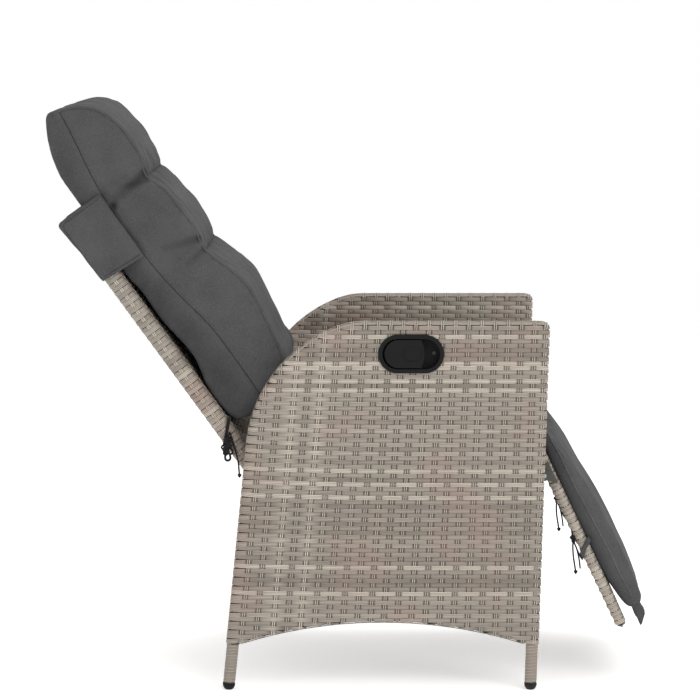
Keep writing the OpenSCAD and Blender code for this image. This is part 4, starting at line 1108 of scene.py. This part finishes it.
def fold_depth(n, a):
    """Depth of the folds at side-face points (forward, up)."""
    total = np.zeros(len(n))
    p = np.stack([n, a], -1)
    for start, end, depth, width in FOLDS:
        s, e = np.array(start) * MM, np.array(end) * MM
        t = np.clip(((p - s) @ (e - s)) / ((e - s) @ (e - s)), 0, 1)
        d = np.linalg.norm(p - (s + t[:, None] * (e - s)), axis=1)
        total += depth * MM * bell(d, width * MM) * (1 - t * 0.6)
    return total


def back_relief(mesh):
    """Folds, seam groove, creases with their gathers, and loose waves, with painted shade in the folds and
    creases and on the side faces behind the seam; gives the new points.
    """
    p, nn = coords(mesh), vertex_values(mesh, "normal")
    n, y, a = p.T.copy()
    side = bell(np.maximum(BACK_W - 4 * MM - np.abs(y), 0), 9 * MM)
    behind = seam_at(a) - n
    folds = fold_depth(n, a)
    p[:, 1] -= np.sign(y) * side * (2.4 * MM * bell(behind, 3.5 * MM) + folds)
    # Painted shade: folds, the side faces behind the seam (turned away from the light) and the creases
    # across the front are darkened.
    painted_rear_shade = np.interp(a, (0.1, 0.2, 0.42, 0.5), (0.4, 0.8, 0.8, 0.4)) * np.clip(behind / (45 * MM), 0, 1)
    dark = side * (np.clip(folds / (9 * MM), 0, 1) + painted_rear_shade)
    shaded(mesh, dark + 0.5 * bell(from_crease(a), 4 * MM) * (n > 0.03) * (1 - side))
    for crease, phase in zip(CREASES, (0.4, 2.1)):
        on = bell(a - crease, 30 * MM) * (n > 0.03)
        gather = wavy(y, (0.9, 24 * MM, phase), (0.7, 39 * MM, phase * 3), (0.5, 17 * MM, phase * 5))
        p += nn * (on * (0.7 * MM * gather) - bell(a - crease, 5 * MM) * (n > 0.03) * 1.4 * MM)[:, None]
    loose = wavy(y, (1, 140 * MM, 0.5), (0.6, 61 * MM, 2)) * wavy(a, (1, 170 * MM, 1.2), (0.5, 77 * MM, 0.3))
    return p + nn * (1.1 * MM * loose * (n > 0.0))[:, None]


def back_pad(sections, ys, middle):
    """The back cushion, and its surface in the back's axes."""
    pad = remeshed(loft("back_pad", sections, ys, middle))
    p = coords(pad.data)
    draw_in(p)
    set_coords(pad.data, p)
    bulge = np.clip(1 - (np.abs(p[:, 1]) / (0.9 * BACK_W)) ** 4, 0, 1)
    puffed(pad, back_hold(p, sections), (1.5 + 2.5 * bulge)[:, None] * MM, 4.0, 0.03)
    subdivided(pad)
    p = back_relief(pad.data)
    surface = surface_of(pad.data, p)
    set_coords(pad.data, p)
    set_coords(pad.data, tilted(BACK, coords(pad.data)))
    finished(pad, CLOTH)
    ride_as(pad, "back", "cushion_fabric", "back_cushion")
    return surface


def piping_line(surface, loop, sign):
    """Points along a side face's front rim, from the top down."""
    rim = np.flatnonzero((loop[:, 0] > -0.004) & (loop[:, 1] > 0.1))
    rim = rim[np.argsort(-loop[rim, 1])]
    hits = []
    for q, m in zip(loop[rim], loop_normals(loop)[rim]):
        way = Vector((-m[0], -sign * 1.0, -m[1]))
        start = Vector((q[0] + 0.1 * m[0], sign * (BACK_W + 0.1), q[1] + 0.1 * m[1]))
        hit = surface.ray_cast(start, way)[0]
        if hit is not None:
            hits.append(np.array(hit) - np.array(way.normalized()) * 0.6 * MM)
    return softened(np.array(hits), 3)


def back_seams(surface, sections):
    """Side seams, piping round the front and the seams in the two creases."""
    seams, piping = Strands(), Strands()
    for sign, loop in ((-1, sections[0]), (1, sections[-1])):
        starts = [(n, sign * 0.4, a) for n, a in smooth(SIDE_SEAM, 10)]
        laid_tube(seams, surface, starts, (0, -sign, 0), 0.5 * MM, 0.15)
        piping.tube(piping_line(surface, loop, sign), 1.5 * MM)
    for crease in CREASES:
        starts = [(0.4, y, crease) for y in np.linspace(-0.228, 0.228, 90)]
        laid_tube(seams, surface, starts, (-1, 0, 0), 0.6 * MM)
    # The seams get a darker copy of the cushion cloth, which is painted shade along them.
    for name, strands, cloth in (("back_pad_seams", seams, CLOTH_SEAM_SHADE), ("back_pad_piping", piping, CLOTH)):
        ride_as(strands.make(name, cloth, lambda p: tilted(BACK, p)), "back", "cushion_fabric")


back_sections, back_ys, back_middle = back_form()
back_seams(back_pad(back_sections, back_ys, back_middle), back_sections)


# -------------------- seat and footrest cushion

SEAT_W = 240 * MM
NOSE_X, NOSE_Z = 0.346, 0.467  # the crease over the front of the seat
FOOT_SEAM = np.array([(28, 30, 32, 36, 37), (0, 30, 150, 250, 325)]) * MM


def on_foot(m, l):
    """A point m forward and l down the footrest, in mm, as (x, z)."""
    return tuple(tilted(FOOT, np.array([m, 0, -l]) * MM)[[0, 2]] / MM)


# One strip over the seat and down the footrest: outline (x, z), clockwise from the rear top
SEAT_KNOTS = np.array(
    [(-110, 490), (-90, 496), (0, 498), (120, 498.5), (230, 498), (300, 497), (326, 493), (341, 481),
     (346, 467)]
    + [on_foot(m, l) for m, l in (
        (38, 4), (42, 22), (46, 50), (48, 84), (55, 154), (58, 230), (57, 293), (54, 331), (50, 344),
        (40, 349), (30, 345), (21.5, 328), (17, 304), (11.5, 262), (10.4, 200), (10.4, 100), (10.8, 50),
        (12.5, 20))]
    + [(325 + 15.6 * math.sin(t), 433 + 15.6 * math.cos(t)) for t in np.radians([64.5, 45, 22, 0])]
    + [(300, 448.5), (200, 448.5), (100, 448.5), (0, 448.5), (-90, 449), (-114, 453), (-122, 472)]) * MM
CENTRE = smooth(np.array([(-100, 473), (0, 473), (200, 473), (300, 472), (340, 455), on_foot(28, 30),
                          on_foot(32, 150), on_foot(36, 250), on_foot(37, 325)]) * MM, 20)


def seat_form():
    """The strip's sections, their y, and the line on which its side faces close."""
    outline = resampled_loop(smooth(SEAT_KNOTS, 8, True), 260)
    n = loop_normals(outline)
    ys = section_ys(SEAT_W - 3 * MM)
    backing = np.clip(-4 * (n @ [math.cos(FOOT[1]), math.sin(FOOT[1])]) - 2.4, 0, 1)[:, None]
    depth = 1 * MM + 7 * MM * np.clip(1.3 * n @ (0.71, 0.71) - 0.3, 0, 1)
    loops = [loop + n * backing * 3.5 * MM for loop in crowned(outline, ys, SEAT_W, depth)]
    nearest = np.linalg.norm(outline[:, None] - CENTRE[None], axis=2).argmin(1)
    return loops, ys, CENTRE[nearest]


def below_seat(x, z):
    return (x < 0.32) & (z < 0.458)


def seat_hold(p):
    """Pin weights of the strip: the nose's crease, and the faces against seat and footrest."""
    x, z = p[:, 0], p[:, 2]
    out, down = along_footrest(x, z)
    nose = np.hypot(x - NOSE_X, z - NOSE_Z) < 8 * MM
    return np.select([nose, below_seat(x, z) | ((down > 0) & (out < 26 * MM))], [0.9, 0.8])


def from_centre(p):
    """Distance of points (x, z) from the centre line, in portions that fit in memory."""
    portions = np.array_split(p, len(p) // 20000 + 1)
    return np.concatenate([np.linalg.norm(q[:, None] - CENTRE[None, ::3], axis=2).min(1) for q in portions])


def seat_relief(mesh):
    """Side seams, gathers and crease at the nose, and loose waves, with painted shade low on the footrest's
    side faces; gives the new points.
    """
    p, nn = coords(mesh), vertex_values(mesh, "normal")
    x, y, z = p.T.copy()
    out, down = along_footrest(x, z)
    side = bell(np.maximum(SEAT_W - 5 * MM - np.abs(y), 0), 9 * MM)
    p[:, 1] += np.sign(y) * side * 0.8 * MM * bell(from_centre(p[:, [0, 2]]), 5 * MM)
    # Painted shade along the lower part of the footrest's side faces, towards the panel.
    low_side_shade = np.clip((np.interp(down, FOOT_SEAM[1], FOOT_SEAM[0]) - out) / (20 * MM), 0, 1) * (down > 0)
    shaded(mesh, side * low_side_shade * 0.8)
    from_nose = np.hypot(x - NOSE_X, z - NOSE_Z)
    gather = wavy(y, (0.9, 26 * MM, 1.0), (0.7, 41 * MM, 3.0), (0.5, 18 * MM, 0.2))
    p += nn * (bell(from_nose, 28 * MM) * 1.1 * MM * gather)[:, None]
    p -= nn * (bell(from_nose, 7 * MM) * 2.4 * MM)[:, None]
    along = wavy(x + z, (1, 160 * MM, 0.2), (0.5, 73 * MM, 2.3))
    loose = wavy(y, (1, 130 * MM, 1.5), (0.6, 57 * MM, 0.4)) * along
    return p + nn * (1.0 * MM * loose * ~below_seat(x, z))[:, None]


def seat_pad(sections, ys, middle):
    """The seat's and footrest's cushion, and its surface."""
    pad = remeshed(loft("seat_pad", sections, ys, middle))
    puffed(pad, seat_hold(coords(pad.data)), 7 * MM, 3.0)
    subdivided(pad)
    p = seat_relief(pad.data)
    set_coords(pad.data, p)
    finished(pad, CLOTH)
    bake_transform(pad)
    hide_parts("seat_cushion", "footrest_cushion")
    return surface_of(pad.data, p)


def seat_seams(surface):
    """The seam in the nose's crease, in a darker cloth that paints shade, and ridges along the side faces in
    a lighter cloth that paints a glint.
    """
    seams, ridge = Strands(), Strands()
    ripple = wavy(np.arange(len(CENTRE)) * 1.0, (1.4 * MM, 31, 0.3), (0.9 * MM, 17, 1.0))
    for sign in (-1, 1):
        starts = [(x, sign * 0.4, z + w) for (x, z), w in zip(CENTRE, ripple)]
        laid_tube(ridge, surface, starts, (0, -sign, 0), 1.4 * MM, 0.35)
    starts = [(NOSE_X + 0.2 * 0.8, y, NOSE_Z + 0.2 * 0.6) for y in np.linspace(-0.225, 0.225, 90)]
    laid_tube(seams, surface, starts, (-0.8, 0, -0.6), 0.8 * MM)
    for o in (seams.make("seat_pad_seams", CLOTH_SEAM_SHADE), ridge.make("seat_pad_side_seams", CLOTH_GLINT)):
        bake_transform(o)


def foot_flap():
    """The sewn end of the cover, folded into a wedge below the cushion's foot."""
    flap = Strands()
    u = np.linspace(-0.234, 0.234, 70)
    bend = wavy(u, (0.9 * MM, 110 * MM, 0.4), (0.6 * MM, 41 * MM, 1.1))
    path = tilted(FOOT, np.stack([38 * MM + bend, u, np.full(70, -0.345) - 0.8 * bend], -1))
    wedge = np.array([
        (-9, -6), (-4, 3), (2, 6.5), (10, 8.6), (17, 8), (24, 2), (32, -5), (33, -8.5), (27, -8.5),
        (12, -7.5), (-2, -8.5)]) * MM
    flap.sweep(path, np.tile(turned(FOOT, (1, 0, 0)), (70, 1)), wedge, False, 0.5)
    ride_as(flap.make("foot_flap", CLOTH), "footrest", "cushion_fabric")


seat_seams(seat_pad(*seat_form()))
foot_flap()


# -------------------- hood over the back panel's top

HOOD_REAR, HOOD_FRONT, HOOD_LOW, HOOD_HIGH, HOOD_HALF = -0.1055, -0.0135, 0.421, 0.548, 0.2545


def hood_box():
    """A box in the back's axes, open in front and below, with round edges and even faces."""
    bm = bmesh.new()
    bmesh.ops.create_cube(bm, size=1)
    for v in bm.verts:
        in_front, up = v.co.x > 0, v.co.z > 0
        dropped = 6 * MM if in_front and not up else 0
        height = (HOOD_HIGH if up else HOOD_LOW) - dropped
        v.co = (HOOD_FRONT if in_front else HOOD_REAR, 2 * HOOD_HALF * v.co.y, height)
    open_faces = [f for f in bm.faces if f.normal.x > 0.9 or f.normal.z < -0.8]
    bmesh.ops.delete(bm, geom=open_faces, context="FACES_ONLY")
    edges = [e for e in bm.edges if len(e.link_faces) == 2]
    bmesh.ops.bevel(bm, geom=edges, offset=8 * MM, segments=4, profile=0.5, affect="EDGES")
    for axis, low, high, count in ((0, -0.093, -0.017, 9), (1, -0.243, 0.243, 50), (2, HOOD_LOW, 0.537, 14)):
        across = Vector([float(i == axis) for i in range(3)])
        for at in np.linspace(low, high, count)[1:-1]:
            geom = bm.verts[:] + bm.edges[:] + bm.faces[:]
            bmesh.ops.bisect_plane(bm, geom=geom, plane_co=across * at, plane_no=across)
    mesh = bpy.data.meshes.new("hood_cloth")
    bm.to_mesh(mesh)
    bm.free()
    return mesh


def hood_cloth():
    """The hood's cloth with soft waves and a slack hem."""
    mesh = hood_box()
    p, nn = coords(mesh), vertex_values(mesh, "normal")
    n, y, a = p.T
    soft = 1.3 * MM * wavy(a + 0.4 * y, (1, 83 * MM, 0.7), (0.5, 37 * MM, 2.2))
    soft = soft * wavy(y - n, (1, 120 * MM, 1.7), (0.6, 53 * MM, 0))
    slack = bell(a - HOOD_LOW, 14 * MM) * 1.2 * MM * wavy(y + n, (1, 47 * MM, 0.0), (0.6, 29 * MM, 1.0))
    p += nn * (soft * 0.55 + slack * 0.8)[:, None]
    p[:, 0] = HOOD_FRONT + (p[:, 0] - HOOD_FRONT) * (1 - 0.07 * (HOOD_HIGH - p[:, 2]) / 0.127)
    set_coords(mesh, tilted(BACK, p))
    hood = linked(bpy.data.objects.new("hood_cloth", mesh))
    thick = hood.modifiers.new("thick", "SOLIDIFY")
    thick.thickness, thick.offset = 1.5 * MM, -1
    apply_modifiers(hood)
    return finished(hood, CLOTH)


def hood_stitching(hood):
    """Stitch lines along the hood's side faces and its hems, in a darker cloth that paints shade along them.
    """
    surface = surface_of(hood.data, coords(hood.data))
    welt = Strands()
    edge = [(HOOD_REAR + 6 * MM, a) for a in np.linspace(0.427, 0.536, 30)]
    edge += [(n, HOOD_HIGH - 6 * MM) for n in np.linspace(-0.096, -0.018, 20)]
    edge = resample(smooth(np.array(edge), 2), 4 * MM)
    hem = [(n, 0.4265 - 6 * MM * (n + 0.101) / 0.084) for n in np.linspace(-0.092, -0.018, 24)]
    lines = [([(n, sign * 0.4, a) for n, a in line], tuple(-sign * turned(BACK, (0, 1, 0))))
             for sign in (-1, 1) for line in (edge, hem)]
    lines.append(([(-0.3, y, 0.427) for y in np.linspace(-0.24, 0.24, 90)], tuple(turned(BACK, (1, 0, 0)))))
    for starts, direction in lines:
        laid_tube(welt, surface, tilted(BACK, np.array(starts)), direction, 0.45 * MM)
    return welt.make("hood_stitching", STITCH_SHADE)


hood = hood_cloth()
welt = hood_stitching(hood)
ride_as(hood, "back", "cushion_fabric", "cushion_hood")
ride_as(welt, "back", "cushion_fabric")


# -------------------- tie straps

# Bands round the panels' left edges, in mm: forward, y, up, and the band's facing (forward, y)
BACK_BAND = [
    (-62.2, 232, 99, 1, 0), (-61.5, 246, 97, 1, 0), (-64, 251.6, 95, 0.7, 0.7), (-72, 252.6, 87, 0, 1),
    (-84, 252.9, 76, 0, 1), (-94, 252.4, 67, -0.5, 0.8), (-99, 246, 62, -1, 0.2), (-99, 232, 60, -1, 0)]
FOOT_BAND = [
    (13, 226, -197, 1, 0), (13.6, 238, -197, 1, 0), (12.5, 243.6, -197.5, 0.7, 0.7), (7, 245.6, -201, 0, 1),
    (-1, 246.2, -207, 0, 1), (-8, 246, -214, 0, 1), (-12, 244.6, -219, -0.5, 0.8), (-13.5, 239, -221, -1, 0)]
BAND = np.array([(-0.5, -0.3), (-0.46, 0.4), (-0.2, 0.55), (0.2, 0.5), (0.46, 0.4), (0.5, -0.3), (0.2, -0.5),
                 (-0.2, -0.5)])
# Knots, in mm but for the turn: forward and up from the tie's place, size, the cord's radius, turn
BACK_KNOT = [
    (3, 1, 6.5, 2.5, 0.4), (3, -5, 6.0, 2.6, 2.1), (1.5, -11, 6.2, 2.7, 0.9), (-1.5, -17, 5.2, 2.4, 2.7)]
FOOT_KNOT = [(0, 0, 4.6, 1.9, 1.0), (1.5, -4.5, 3.8, 1.7, 2.6)]
# Hanging loops: forward and up, length, width, lean, the cord's radius, how far the loop stands out
BACK_LOOPS = [(1, -6, 27, 13, -0.05, 2.1, 1.5), (0, 0, 23, 10, -0.4, 1.8, -1.5),
              (0, 0, 14, 8, 0.55, 1.7, 1.0)]
# Loose ends and joining pieces of cord
BACK_ENDS = [[(-211, 253.5, 452), (-213, 254.5, 445), (-216, 255, 437)]]
FOOT_ENDS = [[(390, 237, 283), (390.5, 238, 276), (392, 238.5, 268), (392.5, 238.5, 262)],
             [(393, 239, 262), (396, 241, 252), (400, 243, 242), (404, 244, 224), (406, 244, 208)],
             [(399, 243, 244), (403, 244.5, 236), (407, 245, 228), (410, 244, 224)]]


def laid_band(out, at, path, side, width, thick):
    """An open band along a path of a leaning panel."""
    k = smooth(np.array(path) * [1, side, 1, 1, side] * MM, 8)
    facing = unit(turned(at, np.column_stack([k[:, 3:], np.zeros(len(k))])))
    out.sweep(tilted(at, k[:, :3]), facing, BAND * [width, thick], False, 0.5)


def drooping_loop(out, top, length, width, lean, r, depth):
    """A loop of cord hanging from top, leaning to one side."""
    t = np.linspace(0, 2 * math.pi, 26)
    half = width / 2 * np.sin(t) * np.sin(t / 2) ** 1.5
    down = length * np.sin(t / 2) ** 1.3
    c, s = math.cos(lean), math.sin(lean)
    x = top[0] + half * c - down * s
    y = top[1] + depth * np.sin(t)
    z = top[2] - down * c - half * s
    out.tube(np.stack([x, y, z], -1), r)


def knotted(out, at, knots, loops, ends, side, per):
    """Knots one below the other at a tie's place, with its loops and loose ends."""
    for forward, up, size, r, turn in knots:
        small_knot(out, at + np.array([forward, 0, up]) * MM, size * MM, r * MM, turn)
    for forward, up, length, width, lean, r, depth in loops:
        top = at + np.array([forward, 0, up]) * MM
        drooping_loop(out, top, length * MM, width * MM, lean, r * MM, depth * MM)
    for path in ends:
        out.tube(smooth(np.array(path) * [1, side, 1] * MM, per), 1.5 * MM)


back_straps, foot_cloth, foot_cords = Strands(), Strands(), Strands()
for side in (-1, 1):
    back_tie = np.array([-0.2165, side * 0.2555, 0.4345])
    foot_tie = np.array([0.3925, side * 0.2385, 0.2625])
    laid_band(back_straps, BACK, BACK_BAND, side, 5.5 * MM, 1.8 * MM)
    knotted(back_straps, back_tie, BACK_KNOT, BACK_LOOPS, BACK_ENDS, side, 5)
    laid_band(foot_cloth, FOOT, FOOT_BAND, side, 9 * MM, 1.5 * MM)
    knotted(foot_cords, foot_tie, FOOT_KNOT, [], FOOT_ENDS, side, 6)
ride_as(back_straps.make("back_straps", CORD), "back", "tie_fabric", "back_tie_straps")
ride_as(foot_cloth.make("footrest_straps", TIE), "footrest", "tie_fabric", "footrest_tie_straps")
ride_as(foot_cords.make("footrest_strap_cords", CORD), "footrest", "tie_cord")


# -------------------- finishes of the CAD nodes

SLOT_FINISH = {
    "frame_metal": FRAME, "zinc": ZINC, "black_plastic": BLACK, "nylon": NYLON, "spring_black": SPRING,
    "rod_chrome": CHROME, "cable_sheath": SHEATH}
NODE_FINISH = {"foot_caps": RUBBER, "handle_screws": SPRING, "handle_pin": SPRING}
for row in frame["record"]["subparts"]:
    finish = NODE_FINISH.get(row["node"]) or SLOT_FINISH.get(row["material_slot"])
    if finish:
        for slot in frame["nodes"][row["node"]].material_slots:
            slot.material = finish


# -------------------- stage

def white_floor():
    """A wide pale floor that glows a little, so that it meets the white background."""
    mesh = bpy.data.meshes.new("floor")
    mesh.from_pydata([(-6, -7, 0), (6, -7, 0), (6, 6, 0), (-6, 6, 0)], [], [(0, 1, 2, 3)])
    material, _, b = node_material("floor")
    b.inputs["Base Color"].default_value = (0.9, 0.9, 0.9, 1)
    b.inputs["Roughness"].default_value = 0.9
    b.inputs["Emission Color"].default_value = (1, 1, 1, 1)
    b.inputs["Emission Strength"].default_value = 0.42
    mesh.materials.append(material)
    linked(bpy.data.objects.new("floor", mesh))


def white_world():
    """A white background, which lights the chair with three quarters of the strength it is seen with."""
    world = bpy.data.worlds.new("world")
    bpy.context.scene.world = world
    world.use_nodes = True
    t = world.node_tree
    seen, unseen = t.nodes["Background"], add(t, "Background", Strength=0.75)
    seen.inputs[0].default_value = unseen.inputs[0].default_value = (1, 1, 1, 1)
    seen.inputs[1].default_value = 1.0
    is_camera = add(t, "LightPath").outputs["Is Camera Ray"]
    both = add(t, "MixShader", is_camera, unseen.outputs[0], seen.outputs[0])
    t.links.new(both.outputs[0], t.nodes["World Output"].inputs[0])


def lamp(name, place, aim, size, power):
    light = bpy.data.lights.new(name, "AREA")
    light.size, light.energy = size, power
    o = linked(bpy.data.objects.new(name, light))
    o.location = place
    o.rotation_euler = (Vector(aim) - Vector(place)).to_track_quat("-Z", "Y").to_euler()


white_floor()
white_world()
lamp("key", (1.6, -3.0, 2.6), (0, 0, 0.5), 2.2, 60)
lamp("fill", (-2.4, -2.6, 1.8), (0, 0, 0.4), 2.4, 12)
lamp("top", (0.4, 0.2, 3.4), (0, 0, 0.4), 3.5, 40)

bpy.context.scene.view_settings.view_transform = "Standard"
